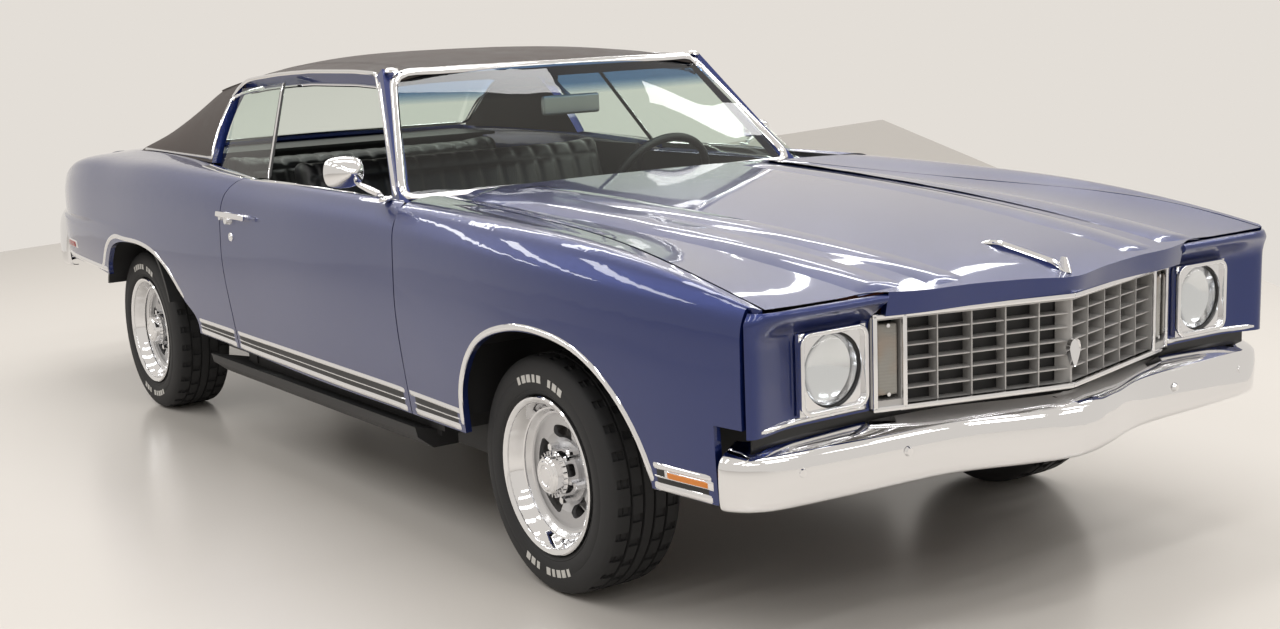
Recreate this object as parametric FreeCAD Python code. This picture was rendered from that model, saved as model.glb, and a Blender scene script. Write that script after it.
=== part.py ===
"""Two-door hardtop muscle car, built panel by panel.

Frame: +Z up, the car faces -Y, its left (driver's) side is +X, the origin is
on the ground under the middle of its length.  Millimetres.

Inside this file stations along the car are written from the FRONT AXLE
(y = 0, rear axle at WHEELBASE), as such cars are drawn; save() slides every
piece to the origin at the middle of the length.

Bodywork: every outer panel is a thick sheet laid through points of one of the
master surfaces (body side, hood, deck, roof), so neighbours line up.
"""
import FreeCAD, Part
import math
import os
from FreeCAD import Vector as V, Matrix, Placement, Rotation

# dimensions
WHEELBASE = 2946.0
LENGTH = 5245.0
FRONT_OVERHANG = 990.0
REAR_OVERHANG = LENGTH - WHEELBASE - FRONT_OVERHANG
MID = (WHEELBASE + REAR_OVERHANG - FRONT_OVERHANG) / 2     # middle of the length
NOSE = -FRONT_OVERHANG
TAIL = WHEELBASE + REAR_OVERHANG

TYRE_R = 309.0          # loaded radius = height of the axles
TYRE_W = 220.0
RIM_R = 190.5           # 15 inch rim
TRACK_F = 1532.0
TRACK_R = 1506.0
KINGPIN_X = TRACK_F / 2 - 50
AXLE = 2946.0           # drawn station of the rear axle

SEAM = 5.0              # width of the gaps between panels
SKIN = 18.0             # fenders and quarters


def st(y):
    """Place of a drawn station: the drawing stretches with the wheelbase and the overhangs."""
    if y < 0:
        return y * FRONT_OVERHANG / 990.0
    if y <= AXLE:
        return y * WHEELBASE / AXLE
    return WHEELBASE + (y - AXLE) * REAR_OVERHANG / 1309.0


DOOR_FRONT = st(652.0)  # leading edge of the door at its widest line
DOOR_REAR = st(1896.0)
HINGE_X = 925.0
HINGE_Y = DOOR_FRONT + 62.0
SEAT = 0.3              # play between pieces that rest on each other
HINGE_PIN = 4.0

PARTS = {}


# curve tools
def hermite(xs, ys, x):
    """Smooth curve through (xs, ys) with Catmull-Rom slopes."""
    n = len(xs)
    if x <= xs[0]:
        return ys[0] + (ys[1] - ys[0]) / (xs[1] - xs[0]) * (x - xs[0])
    if x >= xs[-1]:
        return ys[-1] + (ys[-1] - ys[-2]) / (xs[-1] - xs[-2]) * (x - xs[-1])
    i = max(k for k in range(n - 1) if xs[k] <= x)

    def slope(k):
        if k == 0:
            return (ys[1] - ys[0]) / (xs[1] - xs[0])
        if k == n - 1:
            return (ys[-1] - ys[-2]) / (xs[-1] - xs[-2])
        a, b = xs[k] - xs[k - 1], xs[k + 1] - xs[k]
        return ((ys[k] - ys[k - 1]) / a * b + (ys[k + 1] - ys[k]) / b * a) / (a + b)

    h = xs[i + 1] - xs[i]
    t = (x - xs[i]) / h
    return ((2 * t**3 - 3 * t**2 + 1) * ys[i] + (t**3 - 2 * t**2 + t) * h * slope(i)
            + (3 * t**2 - 2 * t**3) * ys[i + 1] + (t**3 - t**2) * h * slope(i + 1))


class Track:
    """A line of the body: rows (y, value, value ...) joined smoothly along y."""

    def __init__(self, *rows):
        self.y = [r[0] for r in rows]
        self.columns = list(zip(*[r[1:] for r in rows]))

    def __call__(self, y):
        return tuple(hermite(self.y, c, y) for c in self.columns)


def along(*rows):
    """A line of the body whose rows start with their drawn station."""
    return Track(*[(st(r[0]),) + r[1:] for r in rows])


def plan(*rows):
    """A line seen from above: rows (x, drawn station)."""
    return Track(*[(x, st(y)) for x, y in rows])


def edge(*rows):
    """An edge in space: rows (parameter, x, drawn station, z)."""
    return Track(*[(t, x, st(y), z) for t, x, y, z in rows])


def smooth(a, b, x):
    """0 below a, 1 above b, an S between."""
    t = min(1.0, max(0.0, (x - a) / (b - a)))
    return t * t * (3 - 2 * t)


def span(a, b, n):
    return [a + (b - a) * i / (n - 1) for i in range(n)]


def lerp(a, b, t):
    return a + (b - a) * t


# sheet tools
def basis(i, p, knots, t):
    if p == 0:
        last = t == knots[-1] and knots[i] < knots[i + 1] == knots[-1]
        return 1.0 if knots[i] <= t < knots[i + 1] or last else 0.0
    out = 0.0
    if knots[i + p] > knots[i]:
        out += (t - knots[i]) / (knots[i + p] - knots[i]) * basis(i, p - 1, knots, t)
    if knots[i + p + 1] > knots[i + 1]:
        out += (knots[i + p + 1] - t) / (knots[i + p + 1] - knots[i + 1]) * basis(i + 1, p - 1, knots, t)
    return out


INVERSES = {}


def pole_matrix(n):
    """Turns n points into the n + 2 poles of the cubic that runs through them."""
    if n in INVERSES:
        return INVERSES[n]
    knots = [0.0] * 4 + [float(k) for k in range(1, n - 1)] + [float(n - 1)] * 4
    m = n + 2
    rows = []
    for r in range(n):
        rows.append([basis(c, 3, knots, float(r)) for c in range(m)])
    # end slopes: P1 - P0 and P[m-1] - P[m-2] are a third of the end tangents
    first = [0.0] * m
    first[0], first[1] = -3.0, 3.0
    last = [0.0] * m
    last[-2], last[-1] = -3.0, 3.0
    rows += [first, last]
    right = [[1.0 if r == c else 0.0 for c in range(n)] for r in range(n)]
    start, end = [0.0] * n, [0.0] * n
    if n == 2:
        start[0], start[1] = -1.0, 1.0
        end[0], end[1] = -1.0, 1.0
    else:
        start[0], start[1], start[2] = -1.5, 2.0, -0.5
        end[-1], end[-2], end[-3] = 1.5, -2.0, 0.5
    right += [start, end]
    # Gauss elimination of rows * poles = right
    a = [rows[r] + right[r] for r in range(m)]
    for c in range(m):
        pivot = max(range(c, m), key=lambda r: abs(a[r][c]))
        a[c], a[pivot] = a[pivot], a[c]
        f = a[c][c]
        a[c] = [v / f for v in a[c]]
        for r in range(m):
            if r != c and a[r][c]:
                f = a[r][c]
                a[r] = [v - f * w for v, w in zip(a[r], a[c])]
    INVERSES[n] = [row[m:] for row in a]
    return INVERSES[n]


def poles_of(points):
    return [sum((p * w for p, w in zip(points, row) if w), V()) for row in pole_matrix(len(points))]


def sheet(grid):
    """One smooth face through a grid of points."""
    rows = [poles_of(r) for r in grid]
    cols = [poles_of(list(c)) for c in zip(*rows)]
    poles = [list(r) for r in zip(*cols)]

    def knots(n):
        return [float(k) for k in range(n)], [4] + [1] * (n - 2) + [4]

    ku, mu = knots(len(grid))
    kv, mv = knots(len(grid[0]))
    surface = Part.BSplineSurface()
    surface.buildFromPolesMultsKnots(poles, mu, mv, ku, kv, False, False, 3, 3)
    return surface.toShape()


def curve(points):
    """One smooth edge through points, matching the border of a sheet."""
    c = Part.BSplineCurve()
    n = len(points)
    c.buildFromPolesMultsKnots(poles_of(points), [4] + [1] * (n - 2) + [4],
                               [float(k) for k in range(n)], False, 3)
    return c.toShape()


def solid_of(faces, tolerance=0.02):
    shell = Part.makeCompound(faces)
    shell.sewShape(tolerance)
    shell = shell.Shells[0] if shell.Shells else Part.Shell(shell.Faces)
    body = Part.Solid(shell)
    if body.Volume < 0:
        body.reverse()
    return body


def border(grid):
    """The four borders of a grid, as lists of points."""
    return [grid[0], [r[-1] for r in grid], grid[-1][::-1], [r[0] for r in grid][::-1]]


def slab(outer, inner):
    """Solid between two grids of the same size."""
    faces = [sheet(outer), sheet(inner)]
    for a, b in zip(border(outer), border(inner)):
        faces.append(Part.makeRuledSurface(curve(a), curve(b)))
    return solid_of(faces)


def thick_patches(patches, outer_of, inner_of):
    """Solid from several grids of parameters that share whole borders.

    patches are grids of (a, b) parameters.  A border that two patches share is
    inside the panel; every other border gets a side wall.
    """
    faces, sides = [], {}
    for g in patches:
        out = [[outer_of(*p) for p in row] for row in g]
        ins = [[inner_of(*p) for p in row] for row in g]
        faces += [sheet(out), sheet(ins)]
        for a, b in zip(border(out), border(ins)):
            key = tuple(sorted((tuple(round(c, 2) for c in a[0]), tuple(round(c, 2) for c in a[-1]),
                                tuple(round(c, 2) for c in a[len(a) // 2]))))
            if key in sides:
                sides[key] = None
            else:
                sides[key] = (a, b)
    for pair in sides.values():
        if pair:
            faces.append(Part.makeRuledSurface(curve(pair[0]), curve(pair[1])))
    return solid_of(faces)


def inward(surface, a, b, depth, da=1.0, db=0.02):
    """Point of a master surface pushed in along its normal."""
    p = surface(a, b)
    u = surface(a + da, b) - surface(a - da, b)
    v = surface(a, b + db) - surface(a, b - db)
    n = u.cross(v)
    n.normalize()
    return p + n * depth


# solid tools
# These four take drawn stations for y.
def place(p):
    return V(p[0], st(p[1]), p[2])


def box(x0, x1, y0, y1, z0, z1):
    return Part.makeBox(x1 - x0, st(y1) - st(y0), z1 - z0, V(x0, st(y0), z0))


def prism(points, vector):
    pts = [place(p) for p in points]
    return Part.Face(Part.makePolygon(pts + [pts[0]])).extrude(vector)


def tube(a, b, r0, r1=0.0):
    a, b = place(a), place(b)
    d = b - a
    body = Part.makeCylinder(r0, d.Length, a, d)
    return body.cut(Part.makeCylinder(r1, d.Length, a, d)) if r1 else body


def bar(a, b, w, h, up=(0, 0, 1)):
    """Rectangular bar from a to b, w wide, h high."""
    a, b = place(a), place(b)
    d = b - a
    d.normalize()
    side = d.cross(V(*up))
    side.normalize()
    top = side.cross(d)
    s, t = side * (w / 2), top * (h / 2)
    pts = [a - s - t, a + s - t, a + s + t, a - s + t]
    return Part.Face(Part.makePolygon(pts + [pts[0]])).extrude(b - a)


def near(shape, other, *step):
    """Cut shape clear of its neighbour, with the play given by a small step."""
    moved = other.copy()
    moved.translate(V(*step))
    body = shape.cut(moved)
    return max(body.Solids, key=lambda b: b.Volume)


def fused(first, *others):
    out = first.fuse(list(others)) if others else first
    return out.removeSplitter()


def mirror(shape):
    return shape.mirror(V(0, 0, 0), V(1, 0, 0))


def spin(profile, axis_x, y, z):
    """Revolve a closed (radius, x) profile about a line along X."""
    pts = [V(x + axis_x, y, z + r) for r, x in profile]
    face = Part.Face(Part.makePolygon(pts + [pts[0]]))
    return face.revolve(V(axis_x, y, z), V(1, 0, 0), 360)


def save(name, *shapes):
    """Keep a node: one solid, or several like ones that don't touch."""
    solids = [s for shape in shapes for s in shape.Solids]
    shape = solids[0].copy() if len(solids) == 1 else Part.makeCompound([s.copy() for s in solids])
    shape.translate(V(0, -MID, 0))
    PARTS[name] = shape


def save_both(name, left):
    """One node for the two sides."""
    save(name, left, mirror(left))


def save_pair(name, left):
    """A node for each side."""
    save(name + "_left", left)
    save(name + "_right", mirror(left))


# body side
# Lines of the left body side: the peak of the fender and quarter, the
# shoulder under it, the widest line, the lower body and the bottom edge.
PEAK = along((-860, 858, 822), (-600, 868, 866), (-300, 872, 905), (0, 872, 926), (300, 868, 938),
             (650, 866, 946), (1300, 866, 950), (1700, 866, 950), (1950, 874, 952), (2300, 888, 962),
             (2640, 895, 965), (2946, 895, 961), (3300, 888, 950), (3700, 870, 924), (3860, 850, 882),
             (3950, 828, 838), (4010, 806, 802))
SHOULDER = along((-860, 869, 795), (-600, 893, 832), (-300, 912, 862), (0, 918, 882), (300, 914, 892),
                 (650, 908, 898), (1300, 908, 902), (1700, 908, 902), (1950, 914, 904), (2300, 924, 912),
                 (2640, 928, 914), (2946, 928, 912), (3300, 920, 902), (3700, 894, 880), (3860, 866, 846),
                 (3950, 838, 812), (4010, 812, 784))
WIDEST = along((-860, 874, 700), (-600, 908, 722), (-300, 934, 738), (0, 944, 745), (300, 940, 745),
               (650, 932, 742), (1300, 934, 740), (1700, 936, 740), (1950, 940, 740), (2300, 946, 742),
               (2640, 950, 742), (2946, 950, 740), (3300, 940, 732), (3700, 908, 724), (3860, 876, 718),
               (3950, 845, 714), (4010, 814, 712))
LOWER = along((-860, 874, 560), (-600, 908, 560), (-300, 936, 560), (0, 946, 560), (300, 938, 556),
              (650, 928, 552), (1300, 926, 552), (1700, 930, 556), (1950, 936, 560), (2300, 944, 566),
              (2640, 948, 580), (2946, 948, 600), (3300, 938, 620), (3700, 905, 622), (3860, 874, 622),
              (3950, 842, 622), (4010, 812, 622))
BOTTOM = along((-860, 868, 392), (-600, 898, 392), (-300, 920, 390), (0, 926, 384), (300, 920, 374),
               (650, 908, 370), (1300, 908, 372), (1700, 912, 384), (1950, 918, 394), (2300, 930, 408),
               (2640, 940, 440), (2946, 942, 490), (3300, 930, 524), (3700, 896, 530), (3860, 866, 534),
               (3950, 836, 536), (4010, 806, 538))

# inner top line of each panel: hood seam, window sill, foot of the roof side and deck seam
HOOD_SEAM = along((-860, 838, 826), (-600, 824, 873), (-300, 772, 902), (0, 716, 914), (300, 688, 924),
                  (650, 664, 934), (900, 652, 944))
SILL = along((600, 816, 948), (1300, 816, 954), (1700, 816, 955), (1900, 815, 956))
ROOF_FOOT = along((1880, 815, 956), (2100, 808, 966), (2300, 792, 984), (2640, 776, 994), (2946, 764, 996),
                  (3150, 748, 992), (3300, 716, 985), (3450, 694, 975), (3800, 674, 948), (3950, 664, 914),
                  (4060, 656, 870))


def side_surface(top):
    """Master surface of the left side: s(y, v), v = 0 at the top line, 5 at the bottom edge."""
    def s(y, v):
        lines = [t(y) for t in (top, PEAK, SHOULDER, WIDEST, LOWER, BOTTOM)]
        at = [0.0, 1.0, 1.6, 3.0, 4.2, 5.0]
        x = hermite(at, [l[0] for l in lines], v)
        z = hermite(at, [l[1] for l in lines], v)
        return V(x, y, z)
    return s


FENDER = side_surface(HOOD_SEAM)
DOOR = side_surface(SILL)
QUARTER = side_surface(ROOF_FOOT)


def v_at(surface, y, z):
    """Section parameter where the side surface passes height z (below the peak)."""
    a, b = 1.0, 5.4
    for _ in range(40):
        m = (a + b) / 2
        if surface(y, m).z > z:
            a = m
        else:
            b = m
    return (a + b) / 2


# wheel openings in side view, (y, z) from the bottom front corner to the bottom rear corner
ARCH_F = [(-522, 392), (-500, 470), (-450, 548), (-372, 622), (-262, 676), (-120, 696), (20, 688),
          (150, 648), (236, 584), (290, 504), (304, 440), (308, 374)]
ARCH_R = [(WHEELBASE + y, z) for y, z in [
    (-746, 402), (-730, 462), (-656, 506), (-594, 560), (-516, 622), (-386, 664), (-206, 676),
    (-26, 668), (94, 634), (150, 580), (170, 548), (174, 522)]]


def opening_patches(surface, arch, front, rear, v_mid, near=3):
    """Lower panel round a wheel opening: ahead, over and behind it.

    front(v), rear(v) give the panel's borders; near is how many arch points
    belong to each leg.
    """
    pts = [(y, v_at(surface, y, z)) for y, z in arch]
    ahead, over, behind = pts[:near + 1], pts[near:-near], pts[-near - 1:]
    rows = 5
    y_a, y_b = over[0][0], over[-1][0]
    ya = lerp(front(v_mid), y_a, 0.72)
    yb = lerp(y_b, rear(v_mid), 0.28)

    def fan(inner, outer):
        return [[(lerp(i[0], o[0], t), lerp(i[1], o[1], t)) for t in span(0, 1, rows)]
                for i, o in zip(inner, outer)]

    n = len(ahead)
    out_a = [(front(lerp(5.0, v_mid, t)), lerp(5.0, v_mid, t)) for t in span(0, 1, n)]
    n = len(behind)
    out_b = [(rear(lerp(v_mid, 5.0, t)), lerp(v_mid, 5.0, t)) for t in span(0, 1, n)]
    over_out = [(lerp(front(v_mid), rear(v_mid), t), v_mid) for t in span(0, 1, len(over))]
    return [fan(ahead, out_a), fan(over, over_out), fan(behind, out_b)]


def side_panel(surface, front, rear, arch=None, v_mid=3.0, columns=13, near=3, depth=SKIN):
    """A body-side panel between two edge lines, with its wheel opening if it has one."""
    vs_top = span(0, v_mid, 13)
    over = len(arch) - 2 * near if arch else columns

    def band(vs, n):
        return [[(lerp(front(v), rear(v), t), v) for v in vs] for t in span(0, 1, n)]

    if arch:
        patches = [band(vs_top, over)] + opening_patches(surface, arch, front, rear, v_mid, near)
    else:
        patches = [band(vs_top, columns), band(span(v_mid, 5, 5), columns)]
    return thick_patches(patches, lambda y, v: surface(y, v),
                         lambda y, v: inward(surface, y, v, depth))


def fender_front(v):
    return st(lerp(-848, -821, smooth(0.0, 1.0, v)))


def door_gap(v):
    """Station of the gap between fender and door, from the hood seam down."""
    return DOOR_FRONT + 190 * (1 - smooth(0.0, 1.0, v)) + 38 * (1 - smooth(1.0, 2.4, v)) - 14 * smooth(3.0, 5.0, v)


def door_lead(v):
    return DOOR_FRONT + 4 * (1 - smooth(0.9, 1.5, v)) + 86 * (1 - smooth(0.0, 1.0, v)) + 38 * (1 - smooth(1.0, 2.4, v)) - 14 * smooth(3.0, 5.0, v)


def door_trail(v):
    return DOOR_REAR - 100 * (1 - smooth(0.0, 1.6, v)) - 30 * smooth(3.0, 5.0, v)


def fenders():
    body = side_panel(FENDER, fender_front, lambda v: door_gap(v) - SEAM, ARCH_F)
    body = body.cut(box(800, 960, -900, -738, 380, 572))      # behind the bumper's end
    save_both("front_fenders", body)
    return body


def quarters():
    body = side_panel(QUARTER, lambda v: door_trail(v) + SEAM, lambda v: st(lerp(3992, 4004, v / 5)), ARCH_R)
    body = body.cut(box(780, 960, 3857, 4200, 480, 742))      # the bumper's end wraps in here
    save_both("quarter_panels", body)
    return body


# doors
def door(side="left"):
    lead, trail = (lambda v: door_lead(v)), (lambda v: door_trail(v))
    skin = side_panel(DOOR, lead, trail, columns=13, depth=18)
    # inner box, set in from the skin's edges
    outer, inner = [], []
    for t in span(0, 1, 7):
        ro, ri = [], []
        for v in span(0.8, 4.55, 7):
            y = lerp(lead(v) + 34, trail(v) - 26 - 45 * (1 - smooth(0.8, 2.0, v)), t)
            ro.append(inward(DOOR, y, v, 11))
            p = DOOR(y, v)
            ri.append(V(768, y, min(p.z, 922)))
        outer.append(ro)
        inner.append(ri)
    return fused(skin, slab(outer, inner))


# hood, deck, roof
HOOD_MID = along((-960, 808), (-868, 832), (-685, 860), (-300, 902), (0, 924), (400, 946), (860, 962))
NOSE_LINE = plan((0, -955), (250, -908), (470, -876), (500, -866), (530, -852), (600, -850), (840, -850))     # plan: x -> y
HOOD_REAR = plan((0, 812), (300, 826), (545, 848), (660, 862))
CREASE = along((-960, 497), (0, 520), (860, 545))                        # y -> half width of the raised middle


def hood_point(s, t):
    """s across (-1..1, the raised middle within 0.6), t from the cowl (0) to the nose crease (1), 1.3 under the lip."""
    a = abs(s)
    tt = min(t, 1.0)

    def station(x):
        return lerp(HOOD_REAR(x)[0], NOSE_LINE(x)[0], tt)

    x = 520.0 * a / 0.6 if a <= 0.6 else lerp(520, 800, (a - 0.6) / 0.4)
    for _ in range(4):
        y = station(x)
        edge = HOOD_SEAM(max(y, st(-860)))[0] - SEAM - 2
        crease = CREASE(y)[0]
        x = crease * a / 0.6 if a <= 0.6 else lerp(crease, edge, (a - 0.6) / 0.4)
    y = station(x)
    mid, side = HOOD_MID(y)[0], HOOD_SEAM(max(y, st(-868)))[1]
    rim = mid - 7 - 3 * (1 - tt)
    if a <= 0.6:
        z = lerp(mid, rim, (a / 0.6) ** 2)
    else:
        u = (a - 0.6) / 0.4
        z = lerp(rim, side, u) - 26 * u * (1 - u) * smooth(st(-900), st(-500), y) - 10 * u * (1 - u)
    if t > 1.0:
        y += 12 * (t - 1) / 0.3
        z = lerp(z, 770, (t - 1) / 0.3)
    return V(math.copysign(x, s) if s else 0.0, y, z)


def hood_inside(s, t):
    p = hood_point(s, t)
    lip = smooth(0.9, 1.0, t)
    return V(p.x * 0.985, p.y + 24 * lip + (3 if t == 0 else 0), p.z - lerp(22, 3, smooth(0.92, 1.0, t)) * (1 - smooth(1.0, 1.3, t)))


def hood():
    ts = span(0, 1, 13)
    def band(s0, s1, n):
        return [[(s, t) for t in ts] for s in span(s0, s1, n)]
    patches = [band(-1, -0.6, 7), band(-0.6, 0.6, 11), band(0.6, 1, 7)]
    patches.append([[(s, t) for t in span(1, 1.3, 4)] for s in span(-0.6, 0.6, 11)])
    body = thick_patches(patches, hood_point, hood_inside)
    ornament = bar((0, -905, 824), (0, -700, 860), 14, 16)
    eyes = []
    for s in (-1, 1):
        eyes.append(box(s * 610 - 10, s * 610 + 10, 845, 868, 923, 937).fuse(tube((s * 610 - 10, 868, 930), (s * 610 + 10, 868, 930), 8)))
    body = fused(body, ornament, *eyes)
    for s in (-1, 1):
        body = body.cut(tube((s * 610 - 11, 868, 930), (s * 610 + 11, 868, 930), HINGE_PIN + SEAT))
    save("hood", body)


def hood_hinge(s):
    """Two lugs on the cowl and the pin through them."""
    lugs = [box(s * 610 + d - 5, s * 610 + d + 5, 864, 877, 880, 934.6) for d in (-16, 16)]
    return fused(lugs[0], lugs[1], tube((s * 610 - 21, 868, 930), (s * 610 + 21, 868, 930), HINGE_PIN))


DECK_FRONT = st(3190.0)
DECK_MID = along((3190, 1000), (3450, 988), (3800, 962), (4000, 928), (4150, 884))
TRUNK_PIVOT = (3020.0, 930.0)                       # drawn station, height
# centre line of the hinge arm, from its pivot down round the edge of the opening and up to the lid
GOOSENECK = [(0, 0), (30, -130), (105, -170), (200, -120), (262, 42)]


def tail_y(x):
    """Plan of the tail: the corners sweep forward."""
    return st(4150.0) - 145.0 * (x / 812.0) ** 2


def deck_point(s, t):
    y = DECK_FRONT
    for _ in range(4):
        x = (ROOF_FOOT(y)[0] - SEAM - 3) * s
        y = lerp(DECK_FRONT, tail_y(x), min(t, 1.0))
    z = lerp(DECK_MID(y)[0], ROOF_FOOT(y)[1], abs(s) ** 2.2)
    if t > 1.0:
        u = (t - 1) / 0.3
        y += 14 * u
        z -= (z - 796) * u
    return V(x, y, z)


def deck():
    def inside(s, t):
        p = deck_point(s, t)
        lip = smooth(0.9, 1.0, t)
        return V(p.x * 0.98, p.y - 26 * lip + (4 if t == 0 else 0), p.z - 26 * (1 - smooth(1, 1.3, t)))
    patches = [[[(s, t) for t in span(0, 1, 9)] for s in span(-1, 1, 13)],
               [[(s, t) for t in span(1, 1.3, 3)] for s in span(-1, 1, 13)]]
    body = thick_patches(patches, deck_point, inside)
    y0, z0 = TRUNK_PIVOT
    arms = []
    for x in (-506, 506):
        route = [(x, y0 + dy, z0 + dz) for dy, dz in GOOSENECK]
        arms += [bar(a, b, 12, 24) for a, b in zip(route, route[1:])]
        arms += [tube((x - 6, p[1], p[2]), (x + 6, p[1], p[2]), 12 if k else 18) for k, p in enumerate(route[:-1])]
    body = fused(body, *arms)
    for x in (-506, 506):
        body = body.cut(tube((x - 7, y0, z0), (x + 7, y0, z0), 2 * HINGE_PIN + SEAT))
    save("trunk_lid", body)


def trunk_hinge(s):
    """Two lugs under the shelf and the pin that carries one arm of the lid."""
    y, z = TRUNK_PIVOT
    lugs = [box(s * 506 + d - 5, s * 506 + d + 5, y - 14, y + 14, z - 16, 974) for d in (-16, 16)]
    return fused(lugs[0], lugs[1], tube((s * 506 - 21, y, z), (s * 506 + 21, y, z), 2 * HINGE_PIN))


# roof: plan half width and height of its side edge, height of its middle
RAIL = along((1262, 598, 1286), (1400, 604, 1292), (1600, 610, 1296), (1900, 616, 1291), (2170, 620, 1276),
             (2400, 622, 1254), (2590, 616, 1226))
CREST = along((1262, 1300), (1400, 1322), (1600, 1339), (1850, 1345), (2150, 1338), (2400, 1312), (2590, 1276))
HEADER_Y = st(1262.0)
BACKLIGHT_Y = st(2590.0)


def roof_point(s, t):
    bow = 52 * (1 - s * s)
    y = lerp(HEADER_Y - 0.9 * bow, BACKLIGHT_Y + 0.5 * bow, t)
    half, rail = RAIL(y)
    top = CREST(y)[0]
    a = abs(s)
    return V(half * s * (1 + 0.0 * a), y, rail + (top - rail) * (1 - a ** 3.2))


# foot of the roof side along the body, and its upper edge beside the rear window
SAIL_TOP = edge((0.0, 622, 2376, 1254), (0.25, 614, 2585, 1222), (0.5, 646, 2780, 1140), (0.75, 692, 2960, 1062),
                 (1.0, 738, 3128, 1006))
SAIL_FOOT = edge((0.0, 790, 2300, 985), (0.25, 778, 2520, 990), (0.5, 768, 2740, 994), (0.75, 758, 2950, 995),
                  (1.0, 750, 3150, 992))


def sail_point(u, v):
    top, foot = V(*SAIL_TOP(u)), V(*SAIL_FOOT(u))
    p = top + (foot - top) * v
    return p + V(14, 0, 8) * (4 * v * (1 - v)) * (1 - u)


def roof(quarter):
    shell = thick_patches([[[(s, t) for t in span(0, 1, 11)] for s in span(-1, 1, 15)]], roof_point,
                          lambda s, t: roof_point(s, t) + V(-14 * s, 0, -38))
    sail = thick_patches([[[(u, v) for v in span(0, 1, 5)] for u in span(0, 1, 9)]], sail_point,
                         lambda u, v: sail_point(u, v) + V(-34, 0, -6 + 2 * v))
    a_post = bar((738, 944, 915), (592, 1290, 1288), 36, 40, up=(1, 0, 0.3))
    quarter_post = bar((608, 2330, 1262), (612, 2480, 1240), 50, 44)
    header = bar((-560, 1276, 1276), (560, 1276, 1276), 60, 36)
    parts = [shell, sail, mirror(sail), a_post, mirror(a_post), header]
    body = fused(*parts).cut(windshield(0.4)).cut(rear_window(0.4))
    body = near(near(body, quarter, -SEAT, 0, SEAT), mirror(quarter), SEAT, 0, SEAT)
    save("roof", body)


# glass
WS_TOP = edge((0.0, 0, 1212, 1292), (0.5, 300, 1228, 1290), (1.0, 572, 1262, 1278))
WS_FOOT = edge((0.0, 0, 842, 948), (0.5, 380, 874, 944), (1.0, 728, 955, 936))


def glass_between(top, foot, thickness, bulge, play=0.0):
    """Curved pane; play grows it all round, for the rebate it sits in."""
    def point(s, v):
        a = abs(s)
        t, f = V(*top(a)), V(*foot(a))
        p = t + (f - t) * v
        sign = 1 if s >= 0 else -1
        return V(sign * p.x, p.y, p.z) + bulge * (4 * v * (1 - v))
    edge = play / 500.0
    back = thickness * (play / thickness.Length)
    grid = [[(s, v) for v in span(-edge, 1 + edge, 5)] for s in span(-1 - edge, 1 + edge, 11)]
    return thick_patches([grid], lambda s, v: point(s, v) - back, lambda s, v: point(s, v) + thickness + back)


REAR_TOP = edge((0.0, 0, 2622, 1270), (0.5, 300, 2612, 1262), (1.0, 570, 2596, 1236))
REAR_FOOT = edge((0.0, 0, 3120, 1010), (0.5, 350, 3110, 1007), (1.0, 664, 3072, 1006))


def windshield(play=0.0):
    return glass_between(WS_TOP, WS_FOOT, V(0, 5, -4), V(0, -10, 8), play)


def rear_window(play=0.0):
    return glass_between(REAR_TOP, REAR_FOOT, V(0, -5, -4), V(0, 6, 8), play)


def glazing():
    save("windshield", windshield())
    save("rear_window", rear_window())
    save_both("quarter_glass", side_pane([(1807, 953), (1970, 1258), (2322, 1236), (2262, 953)]))


def lean(z):
    """Half width of the side glass plane at height z."""
    return lerp(785, 622, (z - 950) / 330.0)


def side_pane(points, thickness=5.0, play=0.0):
    """Flat side window; play thickens it both ways, for the slot it stands in."""
    n = V(-1, 0, -(lean(950) - lean(951)))
    n.normalize()
    pts = [V(lean(z), st(y), z) - n * play for y, z in points]
    return Part.Face(Part.makePolygon(pts + [pts[0]])).extrude(n * (thickness + 2 * play))


def door_parts():
    body = door()
    glass = side_pane([(960, 900), (966, 948), (1290, 1262), (1958, 1256), (1786, 948), (1780, 900)])
    slot = side_pane([(959.6, 899.6), (965.6, 948), (1000, 990), (1780, 990), (1786.4, 948), (1780.4, 899.6)], play=0.4)
    body = body.cut(slot)
    save_pair("door", body)
    save("door_glass_left", glass)
    save("door_mirror_left", door_mirror(body, (866, 1344), (954, 1390, 1010), 56, 36))
    save("door_mirror_right", mirror(door_mirror(body, (868, 872), (948, 800, 1036), 62, 46)))


def door_mirror(door_body, foot, centre, half_w, half_h):
    """Mirror head on a slanted stalk; foot is (x, station) on the door top."""
    x, y, z = centre
    y = st(y)
    rings = []
    for k, (dy, f) in enumerate([(0, 0.93), (-4, 1.0), (-26, 0.86), (-46, 0.5), (-54, 0.18)]):
        pts = [V(x + half_w * f * c - 8 * (1 - f), y + 14 + dy, z + half_h * f * d - 10 * (1 - f))
               for c, d in [(-1, -0.55), (-0.72, -1), (0.6, -1), (0.9, -0.6), (1, 0.45), (0.7, 1), (-0.72, 1), (-1, 0.55)]]
        rings.append(Part.makePolygon(pts + [pts[0]]))
    head = Part.makeLoft(rings, True, True)
    a, b = V(foot[0], st(foot[1]), 940), V(x - 12, y - 22, z - 14)
    d = b - a
    stalk = Part.makeCone(15, 7, d.Length, a, d)
    base = Part.makeCylinder(20, 24, V(foot[0], st(foot[1]) - 4, 936), V(-0.1, 0, 1))
    body = fused(stalk, head, base)
    return near(body, door_body, 0, 0, SEAT)


# front end
GRILLE_SLOPE = math.degrees(math.atan2(948 - 812, 505))

# headlamp panel in plan, from the grille to the fender, with how much of the brow it has
CAP_PLAN = [(506, -806, 1.0), (560, -806, 1.0), (620, -806, 1.0), (680, -806, 1.0), (735, -808, 0.95), (780, -818, 0.8),
            (815, -829, 0.6), (840, -836, 0.4), (856, -837, 0.25), (866, -833, 0.1), (871, -826, 0.0)]
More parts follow.
